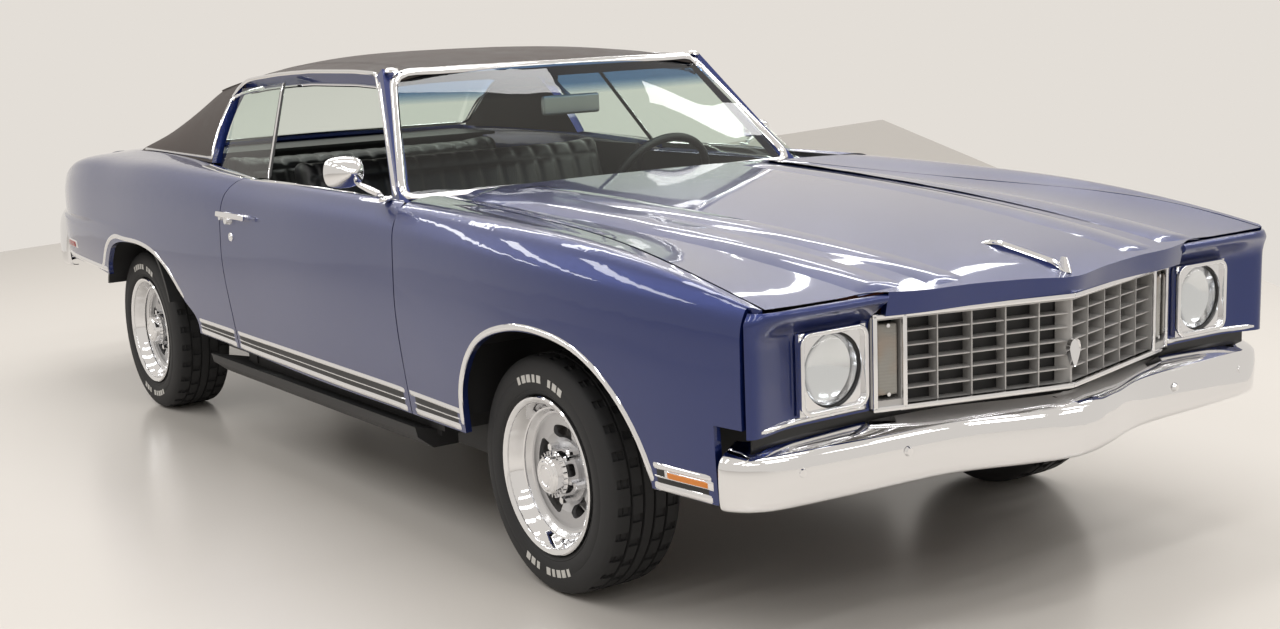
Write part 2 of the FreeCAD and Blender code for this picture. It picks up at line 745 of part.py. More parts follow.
# and in side view: how far the brow stands out at each height
CAP_SIDE = [(0, 552), (0, 600), (0, 650), (0, 700), (0, 742), (-10, 765), (-34, 784), (-54, 798), (-63, 808),
            (-60, 817), (-50, 821)]


def cap_point(i, k):
    x, y, brow = CAP_PLAN[i]
    out, z = CAP_SIDE[k]
    return V(x - 12 * smooth(795, 824, z) * x / 871, st(y + out * brow), z)


def cap_inside(i, k):
    x, y, brow = CAP_PLAN[i]
    out, z = CAP_SIDE[k]
    return V(min(x, 842) + 0.001 * x - 14 * smooth(790, 824, z), st(max(y, -829) + 20 + out * brow), z - 8 * smooth(760, 824, z))


def front_caps():
    grid = [[(i, k) for k in range(len(CAP_SIDE))] for i in range(len(CAP_PLAN))]
    body = thick_patches([grid], cap_point, cap_inside)
    hole = box(533, 716, -900, -700, 578, 752)
    save_both("front_caps", body.cut(hole))
    bezel = box(529, 720, -822, -811, 574, 756).cut(Part.makeCylinder(84, 60, V(624, st(-830), 665), V(0, 1, 0)))
    bowl = box(533.4, 715.6, -812, -780, 578.4, 751.6).cut(Part.makeCylinder(84, 60, V(624, st(-830), 665), V(0, 1, 0)))
    save_both("headlamp_bezels", fused(bezel, bowl))
    lens = Part.makeCylinder(83.7, 30, V(624, st(-800), 665), V(0, 1, 0))
    return lens


def grille():
    half = 523.7
    lamp = 440.0
    outer = box(0, half, 0, 46, 556, 768).fuse(box(0, lamp + 8, 0, 46, 545, 570))
    hole = box(-1, lamp - 6, -1, 47, 559, 754)
    lamp_hole = box(lamp + 8, half - 14, -1, 47, 572, 754)
    frame = outer.cut(hole).cut(lamp_hole)
    fins = [box(0, lamp, 10, 46, z - 1.5, z + 1.5) for z in [559 + 195 * k / 6 for k in range(1, 6)]]
    fins += [box(u - 1.5, u + 1.5, 6, 46, 556, 756) for u in [88 * k for k in range(0, 5)]]
    body = fused(frame, *fins)
    body.rotate(V(0, 0, 0), V(0, 0, 1), GRILLE_SLOPE)
    body.translate(V(0, st(-948), 0))
    right = mirror(body)
    save("grille", fused(body, right))
    lens = box(lamp + 8.3, half - 14.3, 12, 32, 572.3, 753.7)
    lens.rotate(V(0, 0, 0), V(0, 0, 1), GRILLE_SLOPE)
    lens.translate(V(0, st(-948), 0))
    return lens


def bumper(route, section):
    """Sweep a section along half a plan line; section(t) gives its (out, z) points from the middle to the end."""
    route = [(x, st(y)) for x, y in route]
    rings = []
    for i, (x, y) in enumerate(route):
        d = V(*route[min(i + 1, len(route) - 1)], 0) - V(*route[max(i - 1, 0)], 0)
        if i == 0:
            d = V(1, 0, 0)
        d.normalize()
        n = V(d.y, -d.x, 0) if route[0][1] < 0 else V(-d.y, d.x, 0)
        pts = [V(x, y, 0) + n * o + V(0, 0, z) for o, z in section(i / (len(route) - 1))]
        rings.append(Part.makePolygon(pts + [pts[0]]))
    return Part.makeLoft(rings, True, True)


def bumpers():
    def front(t):
        """Blade with a chamfered top that leans back to the grille."""
        return [(0, 386), (14, 396), (18, 500), (-6, 518), (-46, 531), (-46, 522), (-10, 507), (2, 494), (0, 406),
                (-10, 396), (-10, 386)]

    route = [(0, -966), (150, -930), (330, -872), (600, -852), (790, -834), (850, -812), (884, -760)]
    half = bumper(route, front)
    bracket = box(400, 460, -866, -840 - SEAT, 420, 478)
    body = fused(half, mirror(half), bracket, mirror(bracket))
    save("front_bumper", body)
    route = [(0, 4237), (300, 4222), (540, 4180), (690, 4128), (790, 4070), (842, 4000), (858, 3930), (858, 3862)]
    def rear(t):
        """Tall blade whose top edge rises and whose lip narrows towards the ends."""
        lip = lerp(46, 14, t)
        return [(0, 478), (14, 488), (18, 560), (12, 652), (-10, 686 + 30 * t), (-lip, 694 + 34 * t),
                (-lip, 684 + 34 * t), (-12, 676 + 30 * t), (0, 648), (4, 560), (0, 500), (-12, 490), (-12, 478)]

    half = bumper(route, rear)
    bracket = box(450, 510, 3985.3, 4188, 490, 530)
    save("rear_bumper", fused(half, mirror(half), bracket, mirror(bracket)))


def tail_lamp(grow):
    """Block of a tail lamp, set square to the tail's sweep."""
    block = Part.makeBox(150 + 2 * grow, 34, 84 + 2 * grow, V(-75 - grow, -17, -42 - grow))
    block.rotate(V(0, 0, 0), V(0, 0, 1), -math.degrees(math.atan(290.0 * 650 / 812.0 ** 2)))
    block.translate(V(650, tail_y(650), 744))
    return block


def tail_panel():
    """Panel between the trunk lid and the bumper: curved in plan, with a corner up beside the lid."""
    half, wall, foot = 793.0, 12.0, 628.0
    outer = [V(x, tail_y(x), foot) for x in span(-half, half, 13)]
    inner = [p - V(0, wall, 0) for p in outer[::-1]]
    rim = Part.Wire([curve(outer), Part.makeLine(outer[-1], inner[0]), curve(inner), Part.makeLine(inner[-1], outer[0])])
    outline = [(-half, foot), (half, foot), (half, 778), (654, 858), (654, 790), (-654, 790), (-654, 858), (-half, 778)]
    front = prism([(x, 3900, z) for x, z in outline], V(0, 400, 0))
    panel = Part.Face(rim).extrude(V(0, 0, 862 - foot)).common(front)
    lip = [box(-560, 560, 4060, 4074, 556, 650), box(-560, 560, 4060, 4110, 636, 650)]
    panel = fused(panel, *lip)
    for hole in (tail_lamp(SEAT), mirror(tail_lamp(SEAT))):
        panel = panel.cut(hole)
    return max(panel.Solids, key=lambda b: b.Volume)


def tail():
    filler = thick_patches([[[(s, t) for t in span(0, 1, 3)] for s in span(-0.94, 0.94, 9)]],
                           lambda s, t: deck_point(s, 0) + V(0, lerp(-62, -8, t), lerp(3, 0, t)),
                           lambda s, t: deck_point(s, 0) + V(0, lerp(-62, -8, t), lerp(3, 0, t) - 12))
    save("rear_panels", tail_panel(), filler)
    save_both("tail_lamps", tail_lamp(0))
    return filler


# chassis
def chassis():
    """Perimeter frame: side rails kicked up over the axles, and cross members."""
    def rail(points, w=80, h=90):
        return [bar(a, b, w, h) for a, b in zip(points, points[1:])]
    side = [(430, -840, 440), (430, -420, 440), (430, 240, 400), (640, 520, 262), (640, 2215, 262), (480, 2440, 430),
            (480, 3400, 500), (480, 3600, 480), (480, 3985, 480)]
    pieces = rail(side)
    for a in side[1:-1]:
        pieces.append(box(a[0] - 44, a[0] + 44, a[1] - 50, a[1] + 50, a[2] - 45, a[2] + 45))
    left = fused(*pieces)
    cross = [box(-440, 440, -190, 60, 220, 300), box(-440, -390, -190, 60, 290, 400), box(390, 440, -190, 60, 290, 400), box(-440, 440, -770, -700, 400, 470), box(-640, 640, 1080, 1160, 262, 312),
             box(-480, 480, 3380, 3440, 470, 530), box(-560, 560, 2250, 2310, 315, 375), box(-480, 480, 3900, 3960, 450, 510)]
    towers = [box(s * 430 - 45, s * 430 + 45, -60, 60, 300, 420) for s in (-1, 1)]
    body = fused(left, mirror(left), *cross, *towers).cut(box(-60, 60, 2240, 2320, 305, 395))
    save("chassis", body)


def underbody(filler):
    """Floor, toe board, cowl, posts, rockers, wheel houses and shelf, welded into one."""
    pan = box(-780, 780, 560, 2150, 320, 332)
    tunnel = box(-140, 140, 420, 2150, 320, 470)
    toe = prism([V(-780, 420, 640), V(-780, 560, 320), V(-780, 560, 332), V(-780, 432, 640)], V(1560, 0, 0))
    seat_step = prism([V(-780, 2140, 320), V(-780, 2260, 560), V(-780, 2272, 556), V(-780, 2152, 316)], V(1560, 0, 0))
    under_seat = box(-612, 612, 2255, 2880, 556, 568)
    back = box(-640, 640, 2870, 2884, 556, 980)
    boot = box(-612, 612, 2870, 4059.7, 556, 570)
    shelf = box(-640, 640, 2765, 3128, 970, 982)
    wall = box(-760, 760, 420, 432, 470, 880)
    cowl = prism([V(-755, 420, 880), V(-755, 872, 892), V(-755, 940, 928), V(-755, 956, 922), V(-755, 900, 880),
                  V(-755, 420, 868)], V(1510, 0, 0))
    sides = []
    for s in (1, -1):
        def piece(x0, x1, *rest):
            return box(min(s * x0, s * x1), max(s * x0, s * x1), *rest)
        sides.append(piece(700, 850, 560, 640, 322, 890))                 # hinge post
        sides.append(piece(770, 842, 1908, 1980, 322, 940))               # lock post
        sides.append(piece(770, 788, 1908, 2300, 322, 950))
        sides.append(piece(770, 838, 600, 1950, 300, 352))                # sill
        profile = [V(s * 770, 632, 300), V(s * 905, 632, 330), V(s * 898, 632, 300), V(s * 850, 632, 262), V(s * 770, 632, 262)]
        sides.append(prism(profile, V(0, 1540, 0)))                       # rocker
        ring = Part.makeCylinder(370, 300, V(s * 610, WHEELBASE - 46, 360), V(s, 0, 0))
        ring = ring.cut(Part.makeCylinder(356, 300, V(s * 622, WHEELBASE - 46, 360), V(s, 0, 0)))
        sides.append(ring.common(piece(600, 906, 2400, 3400, 470, 760)))  # wheel house
        post = fused(piece(350, 410, 3100, 3165, 970, 982), piece(370, 390, 3132, 3162, 970, 1000))
        sides.append(near(post, filler, 0, 0, -SEAT))                     # under the panel behind the window
        sides += [hood_hinge(s), trunk_hinge(s)]
    body = fused(pan, tunnel, toe, seat_step, under_seat, back, boot, shelf, wall, cowl, *sides)
    save("underbody", body.cut(box(-128, 128, 400, 2160, 300, 458)).cut(box(-60, 60, 2130, 2250, 300, 430)))


# wheel house over the front wheel in side view, from its front foot to its rear foot
HOUSE = [(-530, 402), (-500, 560), (-380, 680), (-200, 735), (0, 750), (200, 720), (330, 600), (343, 414)]


def inner_fenders(fender):
    """Apron beside the engine, with the wheel house that reaches out to the fender."""
    def band(points, x0, x1, wall):
        """Strip of sheet along a line in side view."""
        pieces = []
        for a, b in zip(points, points[1:]):
            pieces.append(bar(((x0 + x1) / 2,) + a, ((x0 + x1) / 2,) + b, x1 - x0, wall))
        pieces += [tube((x0, y, z), (x1, y, z), wall / 2) for y, z in points[1:-1]]
        return pieces

    apron = prism([V(474 + SEAT, y, z) for y, z in [(-700, 486), (-700, 780), (-300, 830), (420 - SEAT, 840),
                                                   (420 - SEAT, 446), (80, 446), (-90, 446), (-400, 486)]], V(6, 0, 0))
    body = near(fused(apron, *band(HOUSE, 476, 930, 6)), fender, -SEAT, 0, 0)
    save_both("inner_fenders", body)


# inside
def interior():
    dash = prism([V(-715, 900, 879.7), V(-715, 960, 900), V(-715, 1060, 895), V(-715, 1120, 860), V(-715, 1110, 700), V(-715, 1080, 660), V(-715, 900, 660)], V(1430, 0, 0))
    cushion = box(-640, 640, 1380, 1880, 470.3, 610)
    legs = [box(s * 500 - 40, s * 500 + 40, y, y + 60, 332.3, 480) for s in (-1, 1) for y in (1440, 1760)]
    back = prism([V(-640, 1800, 590), V(-640, 1940, 1010), V(-640, 2030, 1000), V(-640, 1940, 520), V(-640, 1880, 480)], V(1280, 0, 0))
    save("front_bench", fused(cushion, back, *legs))
    cushion = box(-600, 600, 2265, 2560, 568.3, 690)
    back = prism([V(-600, 2500, 680), V(-600, 2640, 985), V(-600, 2760, 985), V(-600, 2640, 600), V(-600, 2560, 580)], V(1200, 0, 0))
    save("rear_bench", fused(cushion, back))
    column = tube((370, 900, 700), (370, 1165, 845), 28)
    save("dashboard", fused(dash, column))
    axis = V(0, 265, 145)
    axis.normalize()
    centre = V(370, st(1165), 845) + axis * 40
    wheel = Part.makeTorus(190, 14, centre, axis)
    hub = Part.makeCylinder(50, 39.7, centre - axis * 39.7, axis)
    side = axis.cross(V(1, 0, 0))
    spokes = [bar(centre - V(180, 0, 0), centre + V(180, 0, 0), 34, 12, up=axis)]
    save("steering_wheel", fused(wheel, hub, *spokes))
    save("interior_mirror", fused(box(-100, 100, 1150, 1168, 1135, 1190), bar((0, 1162, 1180), (0, 1262, 1250), 14, 14), box(-20, 20, 1250, 1275, 1240, 1257.7)))


# running gear
# right half of the tyre's section: (radius, distance from its middle), from the bead to the tread
TYRE_SIDE = [(RIM_R + SEAT, 87), (207, 92), (217, 104), (248, 110), (282, 106), (TYRE_R - 9, 97), (TYRE_R, 80)]
FACETS = 52             # flats round a tyre


def faceted(profile, x, y, z):
    """Ring of flat facets round a line along X; its bore stays outside the circle it is given."""
    def point(k, r, d):
        a = 2 * math.pi * (k + 0.5 * FACETS) / FACETS - math.pi / 2
        r = r / math.cos(math.pi / FACETS) if r < RIM_R + 1 else r
        return V(x + d, y + r * math.cos(a), z + r * math.sin(a))

    faces = []
    for (r0, d0), (r1, d1) in zip(profile, profile[1:] + profile[:1]):
        for k in range(FACETS):
            corners = [point(k, r0, d0), point(k, r1, d1), point(k + 1, r1, d1), point(k + 1, r0, d0)]
            faces.append(Part.Face(Part.makePolygon(corners + corners[:1])))
    return solid_of(faces)


def slot(x, y, middle):
    """Curved slot through the wheel's disc, round a middle angle."""
    r0, r1, half = 88, 122, math.radians(15)

    def at(r, a):
        return V(x, y + r * math.cos(a), TYRE_R + r * math.sin(a))

    a, b = middle - half, middle + half
    end = half + (r1 - r0) / 2 / r1
    edges = [Part.Arc(at(r0, a), at(r0, middle), at(r0, b)), Part.Arc(at(r0, b), at((r0 + r1) / 2, middle + end), at(r1, b)),
             Part.Arc(at(r1, b), at(r1, middle), at(r1, a)), Part.Arc(at(r1, a), at((r0 + r1) / 2, middle - end), at(r0, a))]
    return Part.Face(Part.Wire([e.toShape() for e in edges])).extrude(V(60, 0, 0))


def wheel(x, y, side):
    """Slotted steel wheel with a trim ring and a finned cap; side = +1 for the left."""
    tyre = faceted(TYRE_SIDE + [(r, -d) for r, d in TYRE_SIDE[::-1]], x, y, TYRE_R)
    barrel = spin([(RIM_R, -88), (RIM_R + 13, -93.4), (RIM_R + 13, -98), (RIM_R - 3, -96), (170, -72), (140, -40),
                   (140, 44), (158, 50), (172, 62), (RIM_R - 5, 92), (RIM_R - 2, 101), (RIM_R + 14, 104),
                   (RIM_R + 15, 98), (RIM_R + 13, 93.4), (RIM_R, 88), (178, 66), (150, 36), (150, -40), (178, -70)],
                  x, y, TYRE_R)
    disc = spin([(40, 20), (80, 20), (104, 34), (146, 34), (146, 46), (104, 46), (78, 33), (62, 33), (60, 74), (52, 80),
                 (48, 96), (44, 100), (0.0, 100), (0.0, 20)], x, y, TYRE_R)
    slots = [slot(x, y, math.pi / 2 + 2 * math.pi * k / 5) for k in range(5)]
    disc = disc.cut(Part.makeCompound(slots))
    rim = fused(barrel, disc)
    if side < 0:
        m = V(x, 0, 0)
        rim = rim.mirror(m, V(1, 0, 0))
    return tyre, rim


def wheels():
    for name, x, y, side in (("front_left", TRACK_F / 2, 0, 1), ("front_right", -TRACK_F / 2, 0, -1),
                             ("rear_left", TRACK_R / 2, WHEELBASE, 1), ("rear_right", -TRACK_R / 2, WHEELBASE, -1)):
        tyre, rim = wheel(x, y, side)
        save("tyre_" + name, tyre)
        save("wheel_" + name, rim)


TIP_R = 31.0            # tailpipe tip, sleeved over the pipe
TIP_LENGTH = 80.0


def running_gear():
    x = TRACK_F / 2
    knuckle = fused(tube((x + 19.7, 0, TYRE_R), (x - 60, 0, TYRE_R), 32), tube((KINGPIN_X, 0, 206), (KINGPIN_X, 0, 424), 22),
                    tube((x - 30, 0, TYRE_R), (x - 44, 0, TYRE_R), 125))
    save_pair("knuckle", knuckle)

    def arm(inner, outer, width, height):
        """Control arm that narrows to a neck, which ends round the knuckle's post."""
        wide = V(*inner).multiply(0.1) + V(*outer).multiply(0.9)
        return [bar(inner, tuple(wide), width, height), bar(tuple(wide), outer, 24, height)]

    arms = arm((446, 0, 262), (KINGPIN_X, 0, 222), 70, 24) + arm((475 + SEAT, 0, 409), (KINGPIN_X, 0, 412), 60, 18)
    strut = bar((466, -160, 262), (KINGPIN_X - 70, -6, 232), 40, 20)
    body = fused(*arms, strut, tube((575, 0, 242), (545, 0, 405), 38))
    body = body.cut(tube((KINGPIN_X, 0, 200), (KINGPIN_X, 0, 430), 22 + SEAT))
    save_both("front_suspension", max(body.Solids, key=lambda b: b.Volume))
    end = TRACK_R / 2 + 19.7
    half = [(0.0, -end), (38, -end), (38, 50 - end), (130, 50 - end), (130, 80 - end), (38, 80 - end), (38, -125), (90, -90), (125, -30)]
    axle = fused(spin(half + [(r, -x) for r, x in half[::-1]], 0, WHEELBASE, TYRE_R),
                 *[bar((x, 2310 + SEAT, 320), (x, AXLE - 12, 302), 40, 50) for x in (-460, 460)],
                 tube((0, AXLE - 160, TYRE_R), (0, AXLE - 80, TYRE_R), 45))
    save("rear_axle", axle)
    shaft = tube((0, 1060, 400), (0, AXLE - 140, TYRE_R), 38)
    save("driveshaft", shaft.common(box(-90, 90, 1080 + SEAT, AXLE - 160 - SEAT, 200, 500)))
    engine = fused(box(-200, 200, -300, 380, 330, 760), box(-120, 120, 380, 1080, 330, 455))
    save("engine", engine)
    save("radiator", box(-360, 360, -760, -710, 470.3, 770))
    save("fuel_tank", box(-420, 420, 3440.3, 3899.7, 380, 555.7))
    route = [(260, 400, 225), (260, 2300, 210), (340, 3250, 215), (430, 4060, 330), (430, 4180, 330)]
    path = Part.makePolygon([place(p) for p in route])
    end = Part.Wire(Part.makeCircle(28, place(route[0]), place(route[1]) - place(route[0])))
    pipe = path.makePipeShell([end], True, False, 1)          # mitred bends
    hanger = box(350, 362, 3398, 3422, 240, 470 - SEAT)
    tip = tube((430, 4180 - TIP_LENGTH, 330), (430, 4180, 330), TIP_R)
    save_both("exhaust", fused(pipe, hanger, tip))


# run
def main():
    fender = fenders()
    quarter = quarters()
    door_parts()
    hood()
    deck()
    roof(quarter)
    glazing()
    headlamp = front_caps()
    parking_lamp = grille()
    save("front_lamps", headlamp, mirror(headlamp), parking_lamp, mirror(parking_lamp))
    bumpers()
    filler = tail()
    chassis()
    underbody(filler)
    inner_fenders(fender)
    interior()
    wheels()
    running_gear()
    os.makedirs("parts", exist_ok=True)
    for name, shape in PARTS.items():
        if not shape.isValid() or len(shape.Solids) != 1:
            print("CHECK", name, shape.ShapeType, len(shape.Solids), shape.isValid(), round(shape.Volume / 1e6, 2))
        shape.exportStep("parts/%s.step" % name)
    print(len(PARTS), "nodes")


main()
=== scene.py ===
# %% [markdown]
# # A two-door hardtop muscle car in a pale studio
#
# The car's panels, wheels, frame and seats come in from the CAD model as fixed
# pieces in metres.  This lesson dresses them: paint with metal flake, grained
# vinyl, chrome, glass and rubber, and all the small bright pieces that a
# panel-beater fits last.  Every new piece is placed from the CAD pieces that
# carry it, because a place that is measured stays right when a panel changes.

# %% Load the CAD pieces
import math

import bmesh
import bpy
from mathutils import Matrix, Vector
from mathutils.bvhtree import BVHTree


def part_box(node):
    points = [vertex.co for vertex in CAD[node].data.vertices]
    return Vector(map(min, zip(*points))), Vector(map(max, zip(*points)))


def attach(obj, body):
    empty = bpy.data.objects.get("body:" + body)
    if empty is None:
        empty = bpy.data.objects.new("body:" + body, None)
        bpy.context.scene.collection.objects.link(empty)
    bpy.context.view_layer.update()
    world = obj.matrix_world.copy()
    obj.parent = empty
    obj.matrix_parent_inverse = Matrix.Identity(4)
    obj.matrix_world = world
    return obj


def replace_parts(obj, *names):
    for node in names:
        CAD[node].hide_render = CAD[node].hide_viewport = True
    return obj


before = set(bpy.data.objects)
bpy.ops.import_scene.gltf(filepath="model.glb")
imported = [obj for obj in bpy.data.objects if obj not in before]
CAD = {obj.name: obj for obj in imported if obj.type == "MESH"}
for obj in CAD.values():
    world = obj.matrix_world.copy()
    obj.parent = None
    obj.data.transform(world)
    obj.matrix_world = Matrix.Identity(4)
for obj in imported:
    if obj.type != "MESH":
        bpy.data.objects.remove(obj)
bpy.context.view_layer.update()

# %% [markdown]
# ## Stations
# Cars are drawn from the front axle.  `spot(x, y, z)` takes millimetres with y
# measured back from that axle and gives the place in the scene.  The axle's
# own place is read from the front wheel, so that no number is written twice.

# %% Stations along the car
MM = 0.001


def middle(node):
    low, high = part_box(node)
    return (Vector(low) + Vector(high)) / 2


AXLE_Y = middle("wheel_front_left").y
WHEELBASE = middle("wheel_rear_left").y - AXLE_Y
AXLE_Z = middle("wheel_front_left").z


def spot(x, y, z):
    return Vector((x * MM, AXLE_Y + y * MM, z * MM))


def station(y):
    """Millimetres behind the front axle, as a scene y in metres."""
    return spot(0, y, 0).y


def behind_axle(y):
    """A scene y in metres, as millimetres behind the front axle."""
    return (y - AXLE_Y) / MM


print("wheelbase", round(WHEELBASE, 4), "axle height", round(AXLE_Z, 4))

# %% [markdown]
# ## Camera
# The photograph was taken from in front of the car's right side, a little above
# its roof.  A camera can be moved by eye until it looks right, or fitted: here
# its place and its three turns were fitted to points of known size on the car,
# because a long car shows every error.  A small vertical shift stands for the crop.

# %% Camera
PHOTO_W, PHOTO_H = 1280, 629
SENSOR_MM = 36
FOCAL_PX = 1710.15                    # focal length in pixels of the photograph
HORIZON_PX = 372.6                    # row of the picture that the lens looks straight at
YAW, PITCH, ROLL = (math.radians(a) for a in (34.5066, 11.7868, -2.3976))
CAMERA_AT = (-3024.6, -3574.9, 1434.3)
FARTHEST_SEEN = 100


def photo_camera():
    ahead = Vector((math.sin(YAW) * math.cos(PITCH), math.cos(YAW) * math.cos(PITCH), -math.sin(PITCH)))
    level = Vector((math.cos(YAW), -math.sin(YAW), 0))
    up = level.cross(ahead)
    right = math.cos(ROLL) * level + math.sin(ROLL) * up
    top = -math.sin(ROLL) * level + math.cos(ROLL) * up
    data = bpy.data.cameras.new("camera")
    data.sensor_width = SENSOR_MM
    data.lens = FOCAL_PX / PHOTO_W * SENSOR_MM
    data.shift_y = (HORIZON_PX - PHOTO_H / 2) / PHOTO_W
    data.clip_end = FARTHEST_SEEN
    cam = bpy.data.objects.new("camera", data)
    turn = Matrix((right, top, -ahead)).transposed().to_4x4()
    cam.matrix_world = Matrix.Translation(spot(*CAMERA_AT)) @ turn
    bpy.context.scene.collection.objects.link(cam)
    bpy.context.scene.camera = cam
    return cam


camera = photo_camera()
print("lens", round(camera.data.lens, 1), "mm at", [round(v, 2) for v in camera.location])

# %% [markdown]
# ## Building materials from nodes
# `Wiring` keeps the node code short: it adds a node, sets its values and links
# its inputs in one call.  `plain()` makes a finish with no pattern at all.

# %% Material helpers
class Wiring:
    """Adds and links the nodes of one material."""

    def __init__(self, name):
        self.material = bpy.data.materials.new(name)
        self.material.use_nodes = True
        self.tree = self.material.node_tree
        self.shader = self.tree.nodes["Principled BSDF"]

    def add(self, kind, settings=None, **inputs):
        node = self.tree.nodes.new(kind)
        for key, value in (settings or {}).items():
            setattr(node, key, value)
        for key, value in inputs.items():
            self.feed(node, key.replace("_", " "), value)
        return node

    def feed(self, node, key, value):
        """Links or sets an input by its name, or by its number written as i0, i1 and so on."""
        socket = node.inputs[int(key[1:]) if key[0] == "i" and key[1:].isdigit() else key]
        if isinstance(value, bpy.types.NodeSocket):
            self.tree.links.new(value, socket)
        else:
            socket.default_value = value

    def place(self):
        where = self.add("ShaderNodeTexCoord").outputs["Object"]
        return self.add("ShaderNodeMapping", Vector=where).outputs["Vector"]

    def noise(self, scale, detail):
        return self.add("ShaderNodeTexNoise", Vector=self.place(), Scale=scale, Detail=detail).outputs["Fac"]

    def waves(self, direction, scale):
        settings = {"bands_direction": direction}
        return self.add("ShaderNodeTexWave", settings, Vector=self.place(), Scale=scale).outputs["Fac"]

    def between(self, value, low, high, from_low=0.0, from_high=1.0):
        node = self.add("ShaderNodeMapRange", Value=value)
        node.inputs["From Min"].default_value, node.inputs["From Max"].default_value = from_low, from_high
        node.inputs["To Min"].default_value, node.inputs["To Max"].default_value = low, high
        return node.outputs["Result"]

    def blend(self, factor, first, second):
        node = self.add("ShaderNodeMix", {"data_type": "RGBA"})
        self.feed(node, "i0", factor)
        self.feed(node, "i6", first)
        self.feed(node, "i7", second)
        return node.outputs[2]

    def bump(self, height, strength, distance):
        node = self.add("ShaderNodeBump", Height=height, Strength=strength, Distance=distance)
        return node.outputs["Normal"]

    def outer_mirror(self, ior, **more):
        """Share of light that a pane mirrors: none on its inner faces, which a straight ray finds shut."""
        mirror = self.add("ShaderNodeFresnel", IOR=ior, **more).outputs["Fac"]
        back = self.add("ShaderNodeNewGeometry").outputs["Backfacing"]
        front = self.add("ShaderNodeMath", {"operation": "SUBTRACT"}, i0=1.0, i1=back).outputs[0]
        return self.add("ShaderNodeMath", {"operation": "MULTIPLY"}, i0=mirror, i1=front).outputs[0]

    def mirrored(self, clear, gloss, share):
        mix = self.add("ShaderNodeMixShader", i0=share, i1=clear.outputs[0], i2=gloss.outputs[0])
        self.tree.links.new(mix.outputs[0], self.tree.nodes["Material Output"].inputs["Surface"])
        return self.material

    def set(self, **inputs):
        for key, value in inputs.items():
            self.feed(self.shader, key.replace("_", " "), value)
        return self.material


def plain(name, colour, roughness, metallic=0.0):
    return Wiring(name).set(Base_Color=(*colour, 1), Roughness=roughness, Metallic=metallic)


# %% [markdown]
# ## Paint
# The body is a deep metallic blue under clear lacquer.  Flakes could be a picture,
# but a fine cell pattern that tips the normal a little needs none, and sparkles
# where a lamp is mirrored.  The lacquer is the shader's coat, which stays smooth.

# %% Metallic paint
BLUE_SHADE, BLUE_LIGHT = (0.0065, 0.019, 0.125, 1), (0.010, 0.027, 0.160, 1)
FLAKES_PER_METRE = 2600.0


def metallic_paint():
    w = Wiring("metallic_blue_paint")
    flakes = w.add("ShaderNodeTexVoronoi", Vector=w.place(), Scale=FLAKES_PER_METRE)
    patchy = w.noise(1.4, 2.0)
    colour = w.blend(w.between(patchy, 0.2, 0.8), BLUE_SHADE, BLUE_LIGHT)
    tip = w.bump(w.between(flakes.outputs["Color"], 0, 1), 0.10, 0.0003)
    return w.set(Base_Color=colour, Metallic=0.70, Roughness=0.30, Normal=tip, Coat_Weight=1.0,
                 Coat_Roughness=0.03, Coat_IOR=1.5)


PAINT = metallic_paint()
print("paint nodes:", len(PAINT.node_tree.nodes))

# %% [markdown]
# ## Vinyl
# The roof is covered in dark brown vinyl, and the seats and trim in black.  Both
# have a leather-like grain: rounded cells as a bump, with a wide noise that
# varies the colour and the sheen, as sun and hands do.

# %% Grained vinyl
def grained_vinyl(name, dark, light, scale, depth, roughness, vary=0.07):
    w = Wiring(name)
    cells = w.add("ShaderNodeTexVoronoi", {"feature": "SMOOTH_F1"}, Vector=w.place(), Scale=scale)
    wide = w.noise(9.0, 4.0)
    colour = w.blend(w.between(wide, 0.0, 1.0, 0.3, 0.7), (*dark, 1), (*light, 1))
    rough = w.between(wide, roughness - vary, roughness + vary, 0.3, 0.7)
    return w.set(Base_Color=colour, Roughness=rough, Normal=w.bump(cells.outputs["Distance"], depth, 0.0006))


VINYL = grained_vinyl("roof_vinyl", (0.034, 0.024, 0.020), (0.054, 0.040, 0.034), 900.0, 0.35, 0.62)
BLACK_VINYL = grained_vinyl("black_vinyl", (0.010, 0.010, 0.011), (0.017, 0.017, 0.018), 700.0, 0.3, 0.42)
print("vinyls:", VINYL.name, BLACK_VINYL.name)

# %% [markdown]
# ## Glass
# Car glass is thin, green-tinted and mirrors at a slant.  A solid glass shader
# would bend the view and darken the cabin, so a pane is a clear shader mixed
# with a gloss one.  The windshield has a blue shade band along its top.

# %% Tinted glass
BAND_FADE = 0.035                     # metres over which the shade band fades in
BAND_FROM = 1.195                     # height where it starts
BAND_BLUE = (0.30, 0.45, 0.62, 1)
WHITE = (1, 1, 1, 1)


def tinted_glass(name, tint, banded=False):
    w = Wiring(name)
    colour = (*tint, 1)
    if banded:
        height = w.add("ShaderNodeSeparateXYZ", Vector=w.place()).outputs["Z"]
        colour = w.blend(w.between(height, 0.0, 1.0, BAND_FROM, BAND_FROM + BAND_FADE), colour, BAND_BLUE)
    clear = w.add("ShaderNodeBsdfTransparent", Color=colour)
    gloss = w.add("ShaderNodeBsdfGlossy", Color=WHITE, Roughness=0.0)
    return w.mirrored(clear, gloss, w.outer_mirror(1.45))


GLASS = tinted_glass("tinted_glass", (0.925, 0.960, 0.935))
SCREEN = tinted_glass("windshield_glass", (0.915, 0.955, 0.930), banded=True)
HEADLAMP_GLASS = tinted_glass("headlamp_glass", (0.93, 0.95, 0.96))
print("panes:", GLASS.name, SCREEN.name, HEADLAMP_GLASS.name)

# %% [markdown]
# ## Bright metal, plastics and rubber
# Chrome takes its look from what it mirrors, so it needs no pattern, only a low
# roughness.  The rest is plain too: small pieces show their shape, not a grain.

